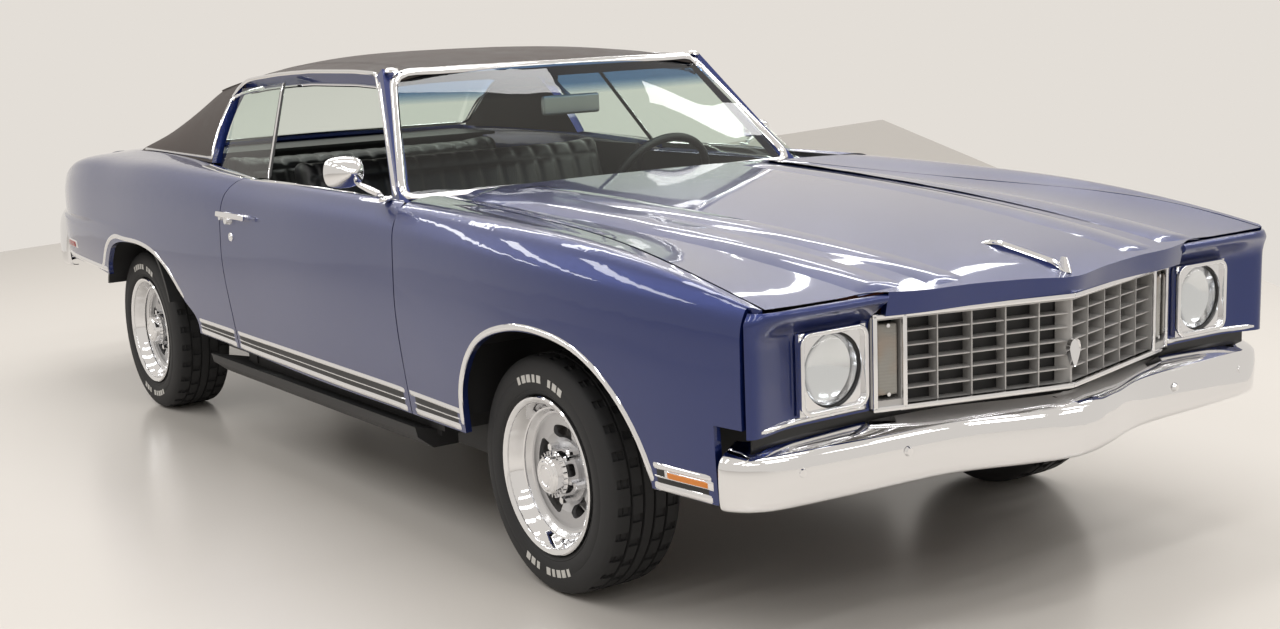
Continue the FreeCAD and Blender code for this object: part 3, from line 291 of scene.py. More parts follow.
# %% Plain finishes
CHROME = plain("chrome", (0.80, 0.80, 0.81), 0.05, 1.0)
BRIGHT_STEEL = plain("polished_steel", (0.66, 0.66, 0.67), 0.16, 1.0)
REFLECTOR = plain("lamp_reflector", (0.85, 0.85, 0.86), 0.12, 1.0)
WHEEL_SILVER = plain("wheel_silver", (0.55, 0.55, 0.56), 0.35, 0.9)
STEEL = plain("bare_steel", (0.30, 0.29, 0.28), 0.45, 0.9)
FIN_SILVER = plain("fin_silver", (0.50, 0.49, 0.48), 0.34, 0.35)
MIRROR_GREY = plain("mirror_shell", (0.33, 0.34, 0.33), 0.22, 0.6)
SATIN_BLACK = plain("satin_black", (0.012, 0.012, 0.013), 0.45)
FRAME_BLACK = plain("frame_black", (0.02, 0.02, 0.021), 0.55)
ENGINE_PAINT = plain("engine_paint", (0.20, 0.05, 0.02), 0.5)
RUBBER = plain("tyre_rubber", (0.018, 0.018, 0.019), 0.72)
WHITE_RUBBER = plain("white_rubber", (0.62, 0.61, 0.58), 0.65)
RED_LENS = plain("red_lens", (0.35, 0.01, 0.01), 0.15)
AMBER = plain("amber_lens", (0.75, 0.24, 0.03), 0.14)
print("finishes so far:", len(bpy.data.materials))

# %% [markdown]
# ## Finishes on the CAD pieces
# Each CAD piece gets one finish.  Where a piece has two on the real car, such as
# the polished ring of a wheel, its faces are sorted by where they lie, because
# the mesh itself has to stay as it came.

# %% Give each CAD piece its finish
FINISHES = {
    PAINT: "front_fenders quarter_panels door_left door_right hood trunk_lid front_caps rear_panels",
    VINYL: "roof",
    GLASS: "rear_window quarter_glass door_glass_left",
    SCREEN: "windshield",
    HEADLAMP_GLASS: "front_lamps",
    RED_LENS: "tail_lamps",
    CHROME: "front_bumper rear_bumper headlamp_bezels door_mirror_left door_mirror_right",
    FIN_SILVER: "grille",
    FRAME_BLACK: "chassis front_suspension rear_axle driveshaft radiator underbody inner_fenders",
    STEEL: "knuckle_left knuckle_right exhaust fuel_tank",
    ENGINE_PAINT: "engine",
    BLACK_VINYL: "dashboard front_bench rear_bench",
    SATIN_BLACK: "steering_wheel interior_mirror",
    RUBBER: "tyre_front_left tyre_front_right tyre_rear_left tyre_rear_right",
    WHEEL_SILVER: "wheel_front_left wheel_front_right wheel_rear_left wheel_rear_right",
}
WHEELS = ("front_left", "front_right", "rear_left", "rear_right")
SIDES = {"left": 1, "right": -1}
for material, names in FINISHES.items():
    for name in names.split():
        CAD[name].data.materials.clear()
        CAD[name].data.materials.append(material)

# %% [markdown]
# ## A second finish on part of a piece
# `refinish()` asks a test about each face's middle and normal.  It finds the
# polished rim and cap of a wheel, the painted posts of the vinyl-covered roof,
# and the inner side of a door, which is black.

# %% Second finishes
POLISHED_FROM, CAP_WITHIN = 0.150, 0.0615          # from the hub, in metres
HEADER, SAIL_FRONT = station(1262), station(2345)
POST_X, RAIL_X, RAIL_Z = 0.57, 0.575, 1.19


def refinish(node, material, chosen):
    """Faces of a CAD piece whose centre and normal pass a test get another finish."""
    mesh = CAD[node].data
    mesh.materials.append(material)
    index = len(mesh.materials) - 1
    count = 0
    for face in mesh.polygons:
        if chosen(face.center, face.normal):
            face.material_index = index
            count += 1
    print(node, material.name, "faces:", count)


def painted(centre, normal):
    """The windshield posts, the rail over the windows and the sail's front edge are bare of vinyl."""
    if abs(centre.x) <= POST_X:
        return False
    post = centre.y < HEADER + 0.020
    rail = abs(normal.x) > 0.6 and centre.z > RAIL_Z and abs(centre.x) > RAIL_X and centre.y < SAIL_FRONT
    edge = normal.y < -0.55 and SAIL_FRONT - 0.10 < centre.y < SAIL_FRONT + 0.15
    return post or rail or edge


for name in WHEELS:
    hub = middle("wheel_" + name)
    refinish("wheel_" + name, BRIGHT_STEEL, lambda c, n: math.hypot(c.y - hub.y, c.z - hub.z) > POLISHED_FROM)
    refinish("wheel_" + name, CHROME, lambda c, n: math.hypot(c.y - hub.y, c.z - hub.z) < CAP_WITHIN)
refinish("roof", PAINT, painted)
for name, side in SIDES.items():
    refinish("door_" + name, BLACK_VINYL, lambda c, n: n.x * side < -0.5)

# %% [markdown]
# ## Modelling helpers
# New pieces start from a bmesh shape.  `done()` closes each of them: it merges
# doubles, turns the faces outwards, rounds the shading, gives the finish and
# ties the piece to the body of the car that carries it.  `tell()` says at the
# end of a step how many pieces it made.

# %% Helpers for new pieces
MERGE = 1e-6
MADE = []


def done(bm, name, material, body, sharp=35.0, turn=True):
    bmesh.ops.remove_doubles(bm, verts=bm.verts, dist=MERGE)
    if turn:
        bmesh.ops.recalc_face_normals(bm, faces=bm.faces)
    mesh = bpy.data.meshes.new(name)
    bm.to_mesh(mesh)
    bm.free()
    mesh.polygons.foreach_set("use_smooth", [True] * len(mesh.polygons))
    mesh.set_sharp_from_angle(angle=math.radians(sharp))
    mesh.materials.append(material)
    piece = bpy.data.objects.new(name, mesh)
    bpy.context.scene.collection.objects.link(piece)
    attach(piece, body)
    MADE.append(piece)
    return piece


def tell(step):
    print("%s: %d pieces, %d faces" % (step, len(MADE), sum(len(p.data.polygons) for p in MADE)))
    MADE.clear()


def round_edges(bm, verts, size, segments):
    edges = list({e for v in verts for e in v.link_edges})
    bmesh.ops.bevel(bm, geom=edges, offset=size, affect="EDGES", segments=segments, profile=0.5, material=-1)


def add_block(bm, place, size):
    """A box of some size, put and turned by a matrix."""
    return bmesh.ops.create_cube(bm, size=1.0, matrix=place @ Matrix.Diagonal((*size, 1)))["verts"]


def add_box(bm, low, high, rounding=0.0, segments=2):
    """A box between two corners, in metres, with its edges rounded if asked."""
    low, high = Vector(low), Vector(high)
    verts = add_block(bm, Matrix.Translation((low + high) / 2), high - low)
    if rounding:
        round_edges(bm, verts, rounding, segments)


def along_axis(centre, axis):
    """The matrix that puts z along an axis."""
    return Matrix.Translation(centre) @ Vector(axis).to_track_quat("Z", "Y").to_matrix().to_4x4()


def add_disc(bm, centre, axis, radius, length, segments, taper=1.0):
    """A short cylinder whose middle is at centre."""
    return bmesh.ops.create_cone(bm, cap_ends=True, segments=segments, radius1=radius, radius2=radius * taper,
                                 depth=length, matrix=along_axis(centre, axis))["verts"]


def turned(bm, profile, centre, axis, steps):
    """A closed or open (radius, along) profile turned all the way round an axis."""
    place = along_axis(centre, axis)
    verts = [bm.verts.new(place @ Vector((r, 0, a))) for r, a in profile]
    edges = [bm.edges.new(pair) for pair in zip(verts, verts[1:])]
    turn_axis = place.to_3x3() @ Vector((0, 0, 1))
    bmesh.ops.spin(bm, geom=verts + edges, cent=centre, axis=turn_axis, angle=math.tau, steps=steps,
                   use_merge=True)


print("helpers ready")

# %% [markdown]
# ## Mouldings that follow the panels
# A bright moulding is a thin half-round strip pressed onto the sheet metal.  It
# could be a bevelled curve, but a curve floats over a crowned panel.  So a ray
# from outside finds the panel at each step, and the strip takes the panel's own
# curve.  The strip is a grid: one way along the path, the other across it.

# %% Find the panel with rays
FAR_OUT, HIGH_UP = 1.4, 2.0            # where rays start, beside and above the car
LEAST_X = 0.45                         # a hit nearer to the middle is on no side panel
LONGEST_JUMP = 0.09                    # hits further apart than this belong to two runs


def skin(*nodes):
    """A tree of the outer faces of some CAD pieces, for rays."""
    bm = bmesh.new()
    for node in nodes:
        bm.from_mesh(CAD[node].data)
    return BVHTree.FromBMesh(bm)


def meets(tree, start, way):
    """Where a ray meets the panels: (place, normal towards the start), or None."""
    place, normal, _, _ = tree.ray_cast(Vector(start), Vector(way))
    if place is None:
        return None
    return place, -normal if normal.dot(Vector(way)) > 0 else normal


def beside(tree, side, y, z):
    hit = meets(tree, (side * FAR_OUT, y, z), (-side, 0, 0))
    return hit if hit and hit[0].x * side >= LEAST_X else None


def above(tree, x, y):
    return meets(tree, (x, y, HIGH_UP), (0, 0, -1))


def runs(found, shortest=4):
    """Splits a list of hits at its gaps and jumps."""
    out, run = [], []
    for hit in found + [None]:
        if hit is None or run and (hit[0] - run[-1][0]).length > LONGEST_JUMP:
            if len(run) >= shortest:
                out.append(run)
            run = []
        if hit is not None:
            run.append(hit)
    return out


def evened(path, rounds):
    """Averages neighbours, so that a moulding flows past the facets of the panel."""
    for _ in range(rounds):
        inner = []
        for a, b, c in zip(path, path[1:], path[2:]):
            normal = a[1] + b[1] * 2 + c[1]
            inner.append(((a[0] + b[0] * 2 + c[0]) / 4, normal.normalized()))
        path = [path[0]] + inner + [path[-1]]
    return path


def traced(found, rounds, shortest=4):
    return [evened(run, rounds) for run in runs(found, shortest)]


# %% [markdown]
# ## Strips
# `add_strip()` lays the grid along a path.  Its middle rises and its edges sink
# a little into the panel, so that no light shows under it.

# %% Lay a strip
ACROSS = 6                             # faces across a moulding
SINK = 0.0012                          # how far a moulding's edge goes into the panel
ROUND = 0.35                           # share of a half-round strip's width that stays level


def add_strip(bm, path, width, height, closed, flat):
    """Half-round strip along a list of (place, normal); flat is the share of its width that stays level."""
    count = len(path)
    grid = bmesh.ops.create_grid(bm, x_segments=count - 1 + closed, y_segments=ACROSS, size=1.0)["verts"]
    for vert in grid:
        i = round((vert.co.x + 1) / 2 * (count - 1 + closed))
        place, normal = path[i % count]
        if closed:
            ahead, behind = path[(i + 1) % count][0], path[(i - 1) % count][0]
        else:
            ahead, behind = path[min(i + 1, count - 1)][0], path[max(i - 1, 0)][0]
        along = (ahead - behind).normalized()
        across = along.cross(normal).normalized()
        lift = min(1.0, (1 - abs(vert.co.y)) / (1 - flat))
        end = 1.0 if closed or 0 < i < count - 1 else 0.0
        rise = height * (1.6 * lift - 0.6 * lift * lift) * end - SINK
        vert.co = place + across * (vert.co.y * width / 2) + normal * rise


def moulding(name, paths, width, height, material, body, closed=False, flat=ROUND):
    """A moulding along some paths; width and height are in millimetres."""
    bm = bmesh.new()
    for path in paths:
        add_strip(bm, path, width * MM, height * MM, closed, flat)
    if not bm.verts:
        print("no path for", name)
        bm.free()
        return None
    return done(bm, name, material, body, turn=False)


def steps(first, last, size=22):
    """Scene y from first to last, both in millimetres behind the front axle."""
    count = max(2, round(abs(last - first) / size))
    return [station(first + (last - first) * i / count) for i in range(count + 1)]


def line_through(rows):
    """A height or half width for any y, straight between (y, value) rows."""
    def value(y):
        if y <= rows[0][0]:
            return rows[0][1]
        for (y0, z0), (y1, z1) in zip(rows, rows[1:]):
            if y <= y1:
                t = (y - y0) / (y1 - y0)
                return z0 + (z1 - z0) * t
        return rows[-1][1]
    return value


def level_paths(tree, side, line, first, last):
    """Paths along a panel at the height that line(y) gives."""
    return traced([beside(tree, side, y, line(behind_axle(y)) * MM) for y in steps(first, last)], 6)


PANELS = {"front_fenders": "car_body", "door_left": "left_door", "door_right": "right_door",
          "quarter_panels": "car_body"}
TREES = {node: skin(node) for node in PANELS}
print("panels to follow:", len(TREES))


def panels_of(side_name):
    """The panels of one side, each with the name that its mouldings carry."""
    own = [n for n in PANELS if not n.startswith("door") or n == "door_" + side_name]
    return [(node, "%s_%s" % (node.replace("_" + side_name, ""), side_name)) for node in own]


# %% [markdown]
# ## Lower body mouldings
# Between the wheels the sill carries a band of three bright strips with dark
# grooves between them.  It runs on ahead of the front wheel, and a single strip
# goes on behind the rear wheel.  Each panel has its own lengths, so that a strip
# breaks at the door's edges and swings away with the door.

# %% Lower body mouldings
TOP_LINE = line_through([(-890, 450), (-500, 449), (186, 431), (1036, 436), (1700, 442), (2180, 451)])
FOOT_LINE = line_through([(-890, 403), (-300, 401), (180, 389), (650, 382), (1035, 383), (1700, 395),
                          (2180, 413)])
TAIL_LINE = line_through([(3115, 541), (3500, 545), (3850, 550)])
SILL_SPAN, TAIL_SPAN = (-835, 2190), (3125, 3850)
LEVEL = 0.9                            # a groove is level nearly all across


def middle_line(y):
    return (TOP_LINE(y) + FOOT_LINE(y)) / 2


SILL_STRIPS = (
    ("groove", middle_line, 52, 1.8, SATIN_BLACK, "black_plastic", LEVEL),
    ("top", TOP_LINE, 17, 5.5, CHROME, "bright", ROUND),
    ("line", middle_line, 5, 4.0, CHROME, "bright", ROUND),
    ("foot", FOOT_LINE, 22, 5.5, CHROME, "bright", ROUND),
)
for side_name, side in SIDES.items():
    for node, label in panels_of(side_name):
        tree, body = TREES[node], PANELS[node]
        for part, line, width, height, material, slot, flat in SILL_STRIPS:
            moulding("sill_%s_%s" % (part, label), level_paths(tree, side, line, *SILL_SPAN), width, height,
                     material, body, flat=flat)
        if node == "quarter_panels":
            tail = level_paths(tree, side, TAIL_LINE, *TAIL_SPAN)
            moulding("tail_strip_" + label, tail, 22, 5.0, CHROME, body)
tell("lower mouldings")

# %% [markdown]
# ## Wheel opening mouldings
# The bright lip follows the edge of each opening.  Rays go out from a little
# above the wheel's middle like spokes, and the first one that meets the panel
# marks the edge, whatever the opening's shape.

# %% Wheel opening mouldings
HUB_RISE = Vector((0, 0, 0.13))
LIP_INSET = 0.010                      # how far the lip's middle lies inside the panel's edge
SPOKE_COUNT = 56
SPOKE_STEPS, SPOKE_STEP = range(60, 180), 4
OPENINGS = (("front", "front_fenders", 192, -11), ("rear", "quarter_panels", 189, -24))      # in degrees


def opening_edge(tree, side, centre, angle):
    way = Vector((0, math.cos(angle), math.sin(angle)))
    for i in SPOKE_STEPS:
        place = centre + way * (i * SPOKE_STEP * MM)
        if beside(tree, side, place.y, place.z):
            place += way * LIP_INSET
            return beside(tree, side, place.y, place.z)
    return None


for side_name, side in SIDES.items():
    for wheel, node, first, last in OPENINGS:
        hub = middle("wheel_%s_%s" % (wheel, side_name)) + HUB_RISE
        angles = [math.radians(first + (last - first) * i / SPOKE_COUNT) for i in range(SPOKE_COUNT + 1)]
        found = [opening_edge(TREES[node], side, hub, math.pi - a) for a in angles]
        moulding("arch_lip_%s_%s" % (wheel, side_name), traced(found, 8, 8), 19, 6.0, CHROME, "car_body")
tell("wheel opening lips")

# %% [markdown]
# ## Belt, drip and window mouldings
# Thin strips cap the door's top edge.  Another is the drip rail, which runs
# along the vinyl's edge: at each station a column of rays finds where the roof
# is widest.  A strip also edges the rear post and the vinyl's foot.

# %% Belt, drip and window mouldings
ROOF_TREE = skin("roof")
BELT_X = line_through([(926, 768), (1100, 793), (1450, 812), (1786, 824), (2060, 822), (2299, 798)])
BELT_SPAN, BELT_LEAST_Z = (960, 2300), 0.88
BELT_STRIPS = (                        # name, how far outboard of the side glass, width, height
    ("shadow", 17, 26, 1.6, SATIN_BLACK, "black_plastic", LEVEL),
    ("line", 3, 8, 4.0, CHROME, "bright", ROUND),
    ("edge", 31, 7, 4.0, CHROME, "bright", ROUND),
)
VINYL_FOOT_Z = 1.0005


def top_path(tree, side, out):
    """Along the panel's top edge, out millimetres outboard of the side glass."""
    hits = [above(tree, side * (BELT_X(behind_axle(y)) + out) * MM, y) for y in steps(*BELT_SPAN)]
    return traced([h if h and h[0].z > BELT_LEAST_Z else None for h in hits], 3)


def rail_path(side, drop, first, last, tilt):
    """Below the roof's side edge: where it is widest, lowered by drop."""
    out = []
    for y in steps(first, last):
        tops = [h[0] for h in (beside(ROOF_TREE, side, y, (1205 + 4 * k) * MM) for k in range(28)) if h]
        if not tops:
            continue
        edge = max(tops, key=lambda c: c.x * side)
        place = edge + Vector((-side * drop * 0.25, 0, -drop)) * MM
        out.append((place, Vector((side, 0, tilt)).normalized()))
    return [evened(out, 4)]


def post_edge(side):
    """Front edge of the vinyl-covered rear post, from the belt up to the rail."""
    out = []
    for k in range(22):
        z = (1000 + 11.5 * k) * MM
        for y in steps(2200, 2520, 4):
            hit = beside(ROOF_TREE, side, y, z)
            if hit:
                out.append((hit[0] + Vector((0, 0.006, 0)), Vector((side, -0.45, 0.25)).normalized()))
                break
    return [evened(out, 3)]


for side_name, side in SIDES.items():
    for node, label in panels_of(side_name)[1:]:
        for part, out, width, height, material, slot, flat in BELT_STRIPS:
            moulding("belt_%s_%s" % (part, label), top_path(TREES[node], side, out), width, height, material,
                     PANELS[node], flat=flat)
    moulding("drip_" + side_name, rail_path(side, -4, 1268, 2380, 0.7), 15, 7.0, CHROME, "car_body")
    moulding("window_strip_" + side_name, rail_path(side, 40, 1290, 2330, 0.0), 12, 6.0, CHROME, "car_body")
    moulding("post_strip_" + side_name, post_edge(side), 15, 6.0, CHROME, "car_body")
    foot = [beside(ROOF_TREE, side, y, VINYL_FOOT_Z) for y in steps(2310, 3130)]
    moulding("vinyl_edge_" + side_name, traced(foot, 3), 13, 5.0, BRIGHT_STEEL, "car_body")
tell("belt, drip and window strips")

# %% [markdown]
# ## Seams of the vinyl top
# The cover is sewn from three widths.  Each seam is a pair of low ridges in the
# same vinyl, which is enough to catch the light.

# %% Seams of the vinyl top
SEAM_X = line_through([(1275, 492), (1900, 500), (2560, 470)])
for side_name, side in SIDES.items():
    for label, gap in (("outer", 0), ("inner", 14)):
        seam = [above(ROOF_TREE, side * (SEAM_X(behind_axle(y)) - gap) * MM, y) for y in steps(1275, 2560)]
        moulding("seam_%s_%s" % (label, side_name), traced(seam, 4), 9, 2.2, VINYL, "car_body")
tell("seams")

# %% [markdown]
# ## Glass surrounds
# The windshield and rear window sit in wide bright frames.  The edge of a pane
# could be read from its mesh, but the triangles of a CAD mesh are in no order.
# So spokes go out from the pane's middle, and halving a spoke's length again and
# again finds where it runs off the glass.

# %% The edge of a pane
FARTHEST_EDGE, HALVINGS = 1.2, 16


def outer_ring(node, outward, spokes=240):
    """Places round the pane: where spokes from its middle run off its outer face."""
    tree = skin(node)
    hub = middle(node)
    up = Vector((0, 0, 1)).cross(outward).cross(outward).normalized()
    across = outward.cross(up)
    ring = []
    for k in range(spokes):
        angle = math.tau * k / spokes
        way = across * math.cos(angle) + up * math.sin(angle)
        near, far, edge = 0.0, FARTHEST_EDGE, None
        for _ in range(HALVINGS):
            reach = (near + far) / 2
            hit = tree.ray_cast(hub + way * reach + outward * 0.5, -outward, 1.0)[0]
            if hit is None:
                far = reach
            else:
                near, edge = reach, hit
        ring.append(edge)
    return ring


def respaced(ring, size):
    """A ring's places again at an even spacing."""
    ring = ring + ring[:1]
    total = sum((b - a).length for a, b in zip(ring, ring[1:]))
    count = round(total / size)
    out, gone, i = [], 0.0, 0
    for k in range(count):
        goal = total * k / count
        while gone + (ring[i + 1] - ring[i]).length < goal:
            gone += (ring[i + 1] - ring[i]).length
            i += 1
        t = (goal - gone) / (ring[i + 1] - ring[i]).length
        out.append(ring[i].lerp(ring[i + 1], t))
    return out


# %% Bright frames round the panes
FRAME_STEP = 0.03


def surround(name, node, outward, width, height, outset):
    """Bright frame that lies on whatever is outermost round the pane's edge."""
    outward = Vector(outward).normalized()
    tree = skin(node, "roof")
    ring = respaced(outer_ring(node, outward), FRAME_STEP)
    centre = sum(ring, Vector()) / len(ring)
    path = []
    for place in ring:
        away = place - centre
        away = (away - outward * away.dot(outward)).normalized()
        over = place + away * outset * MM
        hit = tree.ray_cast(over + outward * 0.08, -outward, 0.12)[0]
        path.append(hit or over)
    count = len(path)
    path = [(path[i - 1] / 4 + path[i] / 2 + path[(i + 1) % count] / 4, outward) for i in range(count)]
    return moulding(name, [path], width, height, CHROME, "car_body", closed=True)


# %% [markdown]
# ## Quarter dividers and roof corners
# The side window ends at the upright edge of the fixed quarter glass, which has
# a black seal and a bright line.  A short strip closes each front roof corner,
# where the drip rail meets the windshield's frame.

# %% Quarter dividers, roof corners and the frames
QUARTER_EDGE = [(1807, 953), (1870, 1071), (1970, 1258)]
QUARTER_STEPS = 17
CORNER = ((604, 1284, 1294), (596, 1268, 1301), (582, 1256, 1301), (566, 1250, 1301))


def lean(z):
    """Half width of the side glass at height z, in millimetres."""
    return 785 + (622 - 785) * (z - 950) / 330


def pane_edge(side):
    """Front edge of the fixed quarter glass."""
    line = line_through(QUARTER_EDGE)
    first, last = QUARTER_EDGE[0][0], QUARTER_EDGE[-1][0]
    rows = []
    for k in range(QUARTER_STEPS + 1):
        y = first + (last - first) * k / QUARTER_STEPS
        z = line(y)
        rows.append((spot(side * (lean(z) + 3), y, z), Vector((side, 0, 0.45)).normalized()))
    return rows


for side_name, side in SIDES.items():
    edge = pane_edge(side)
    moulding("quarter_divider_" + side_name, [edge], 22, 9, SATIN_BLACK, "car_body")
    bright = [(p + Vector((0, -0.004, 0)) + n * 0.006, n) for p, n in edge]
    moulding("quarter_divider_line_" + side_name, [bright], 7, 4, CHROME, "car_body")
    out = Vector((side * 0.4, -0.3, 0.85)).normalized()
    corner = [(spot(side * x, y, z), out) for x, y, z in CORNER]
    moulding("roof_corner_" + side_name, [corner], 26, 7, CHROME, "car_body")
surround("windshield_surround", "windshield", (0, -0.68, 0.73), 30, 9, 9)
surround("rear_window_surround", "rear_window", (0, 0.45, 0.89), 26, 8, 6)
tell("glass trim")

# %% [markdown]
# ## Windshield posts
# Each post carries a bright strip on its rear edge, where the side window
# starts, with painted metal between it and the windshield's frame.

# %% Post strips
POST_FOOT, POST_TOP = spot(762, 962, 940), spot(606, 1279, 1268)
POST_STEPS = 15
for side_name, side in SIDES.items():
    rows = []
    for k in range(POST_STEPS + 1):
        place = POST_FOOT.lerp(POST_TOP, k / POST_STEPS)
        hit = ROOF_TREE.ray_cast(Vector((side * 1.2, place.y, place.z)), Vector((-side, 0, 0)))[0]
        if hit is None:
            hit = Vector((side * (place.x + 0.004), place.y, place.z))
        rows.append((hit, Vector((side, 0, 0.3)).normalized()))
    moulding("post_edge_" + side_name, [evened(rows, 3)], 15, 7, CHROME, "car_body")
tell("post strips")

# %% [markdown]
# ## Hood creases
# Two sharp lines run forward along each side of the hood's raised middle.  They
# are low painted ridges on the sheet, made as very wide strips with no level
# part, so a lamp's reflection breaks along them.

# %% Hood creases
HOOD_TREE = skin("hood")
CREASES = {                            # (y, half width) rows, width and height of the ridge
    "outer": ([(-850, 500), (0, 548), (800, 572)], 150, 9.0),
    "inner": ([(-880, 320), (0, 385), (760, 425)], 130, 6.0),
}
for side_name, side in SIDES.items():
    for part, (rows, width, height) in CREASES.items():
        line = line_through([(y, side * x) for y, x in rows])
        found = [above(HOOD_TREE, line(behind_axle(y)) * MM, y) for y in steps(rows[0][0], rows[-1][0])]
        moulding("hood_crease_%s_%s" % (part, side_name), traced(found, 3), width, height, PAINT, "hood_lid",
                 flat=0.0)
tell("hood creases")

# %% [markdown]
# ## Hood ornament
# A slim bright spear lies along the middle of the hood's nose and ends in a
# small plain upright fin.

# %% Hood ornament
FIN_Y, FIN_TALL, FIN_LIFT = -918, 0.034, 0.014
spear = [above(HOOD_TREE, 0.0, y) for y in steps(-930, -660, 15)]
moulding("hood_spear", traced(spear, 2), 16, 9, CHROME, "hood_lid", flat=0.1)
fin = bmesh.new()
fin_place = Matrix.Translation(above(HOOD_TREE, 0.0, station(FIN_Y))[0] + Vector((0, 0, FIN_LIFT)))
bmesh.ops.create_cone(fin, cap_ends=True, segments=16, radius1=0.016, radius2=0.006, depth=FIN_TALL,
                      matrix=fin_place @ Matrix.Diagonal((0.45, 1.5, 1, 1)))
done(fin, "hood_fin", CHROME, "hood_lid")
tell("hood ornament")

# %% [markdown]
# ## Door handles and locks
# A long pull handle stands off the door on two feet, with a round push button
# and a boss under its rear end and the lock below.  It is set along the line
# between two hits on the door, so it lies as the door's skin does.

# %% Door handles and locks
HANDLE_FRONT, HANDLE_REAR, HANDLE_Z = 1650, 1872, 846
HANDLE_LIFT, HANDLE_SIZE, HANDLE_ROUND = 0.024, (0.012, 0.019), 0.005
FEET, FOOT_R, FOOT_LONG = (0.06, 0.70), 0.011, 0.026
BOSSES = ((0.74, 0.016, 0.017), (0.955, 0.010, 0.012))      # share along the bar, drop, radius
LOCK_BACK, LOCK_DROP = 66, 70
LOCK_SECTION = [(0, 0.006), (0.006, 0.006), (0.007, 0.0045), (0.013, 0.0045), (0.015, 0.002), (0.015, -0.002)]


def handle(side_name, side):
    tree = TREES["door_" + side_name]
    ends = [beside(tree, side, station(y), HANDLE_Z * MM) for y in (HANDLE_FRONT, HANDLE_REAR)]
    first, last = ends[0][0], ends[1][0]
    along = last - first
    out = (ends[0][1] + ends[1][1]).normalized()
    turn = Matrix((out, along.normalized(), along.cross(out).normalized())).transposed().to_4x4()
    bm = bmesh.new()
    place = Matrix.Translation((first + last) / 2 + out * HANDLE_LIFT) @ turn
    bar = add_block(bm, place, (HANDLE_SIZE[0], along.length, HANDLE_SIZE[1]))
    round_edges(bm, bar, HANDLE_ROUND, 3)
    for share in FEET:
        add_disc(bm, first.lerp(last, share) + out * 0.012, out, FOOT_R, FOOT_LONG, 20)
    for share, drop, radius in BOSSES:
        boss = first.lerp(last, share) + out * 0.009 + Vector((0, 0, -drop))
        add_disc(bm, boss, out, radius, 0.020, 24, 0.85)
    lock = beside(tree, side, station(HANDLE_REAR - LOCK_BACK), (HANDLE_Z - LOCK_DROP) * MM)
    turned(bm, LOCK_SECTION, lock[0], lock[1], 24)
    done(bm, "door_handle_" + side_name, CHROME, side_name + "_door")


for side_name, side in SIDES.items():
    handle(side_name, side)
tell("door handles")

# %% [markdown]
# ## Door mirrors
# A mirror head is a smooth shell like half an egg.  It starts as a box cut into
# a grid, whose front is pinched, and one subdivision rounds it.  The pane behind
# it, which faces the driver, is inset.

# %% Door mirrors
MIRROR_HALVES = {"left": (0.056, 0.036), "right": (0.062, 0.046)}      # half width, half height
MIRROR_DEEP = 0.068


def mirror_head(side_name, side):
    low, high = (Vector(c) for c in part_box("door_mirror_" + side_name))
    outer = high.x if side > 0 else low.x
    half_w, half_h = MIRROR_HALVES[side_name]
    centre = Vector((outer - side * half_w, high.y - MIRROR_DEEP / 2 - 0.002, high.z - half_h))
    bm = bmesh.new()
    add_block(bm, Matrix.Translation(centre), (2 * half_w, MIRROR_DEEP, 2 * half_h))
    bmesh.ops.subdivide_edges(bm, edges=bm.edges, cuts=4, use_grid_fill=True)
    for vert in bm.verts:
        off = vert.co - centre
        ahead = max(0.0, 0.5 - off.y / MIRROR_DEEP)
        x, z = off.x / half_w, off.z / half_h
        round_x = math.sqrt(max(0.0, 1 - 0.30 * z * z))
        round_z = math.sqrt(max(0.0, 1 - 0.34 * x * x))
        size = 1 - 0.62 * ahead ** 2.2
        reach = max(abs(x), abs(z))
        back = off.y + MIRROR_DEEP * 0.18 * reach ** 2 * ahead
        vert.co = centre + Vector((x * half_w * round_x * size, back, z * half_h * round_z * size))
    bm.normal_update()
    pane = [f for f in bm.faces if f.normal.y > 0.9]
    bmesh.ops.inset_region(bm, faces=pane, thickness=0.004, depth=-0.003)
    foot = Vector((side * 0.867, low.y + 0.032, low.z + 0.030))
    neck = centre + Vector((-side * 0.010, -0.004, -half_h * 0.55))
    stalk = neck - foot
    add_disc(bm, (foot + neck) / 2, stalk, 0.014, stalk.length, 20, 0.55)
    add_disc(bm, foot + Vector((0, 0, -0.004)), (side * 0.25, 0, 1), 0.026, 0.016, 28, 0.75)
    piece = done(bm, "mirror_head_" + side_name, CHROME, side_name + "_door", sharp=50)
    round_off = piece.modifiers.new("round", "SUBSURF")
    round_off.levels = round_off.render_levels = 1
    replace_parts(piece, "door_mirror_" + side_name)


for side_name, side in SIDES.items():
    mirror_head(side_name, side)
tell("door mirrors")

# %% [markdown]
# ## Side marker lamps
# An amber lens in a thin bright frame sits in the sill band ahead of each front
# wheel, and a red one behind each rear wheel.  Both are strips: the lens is one
# step shorter at each end and stands 3 mm out of its frame.

# %% Side marker lamps
LENS_OUT, FRAME_EDGE = 0.003, 8
MARKERS = (("front", "front_fenders", -752, -566, 434, AMBER, 24),
           ("rear", "quarter_panels", 3560, 3720, 600, RED_LENS, 34))
for side_name, side in SIDES.items():
    for end, node, first, last, z, material, width in MARKERS:
        name = "%s_%s" % (end, side_name)
        for path in traced([beside(TREES[node], side, y, z * MM) for y in steps(first, last, 12)], 2):
            lens = [(p + n * LENS_OUT, n) for p, n in path[1:-1]]
            moulding("marker_frame_" + name, [path], width, 5, CHROME, "car_body", flat=0.8)
            moulding("marker_lens_" + name, [lens], width - FRAME_EDGE, 5, material, "car_body",
                     flat=0.8)
tell("marker lamps")

# %% [markdown]
# ## Bumpers
# A bumper is one blade.  Its section is a list of (out, height) points, and its
# route is a line in plan from the middle to the wrap-round end.  A bent box would
# kink in the chrome, so a grid takes the section along the route, with smooth
# curves drawn through both.

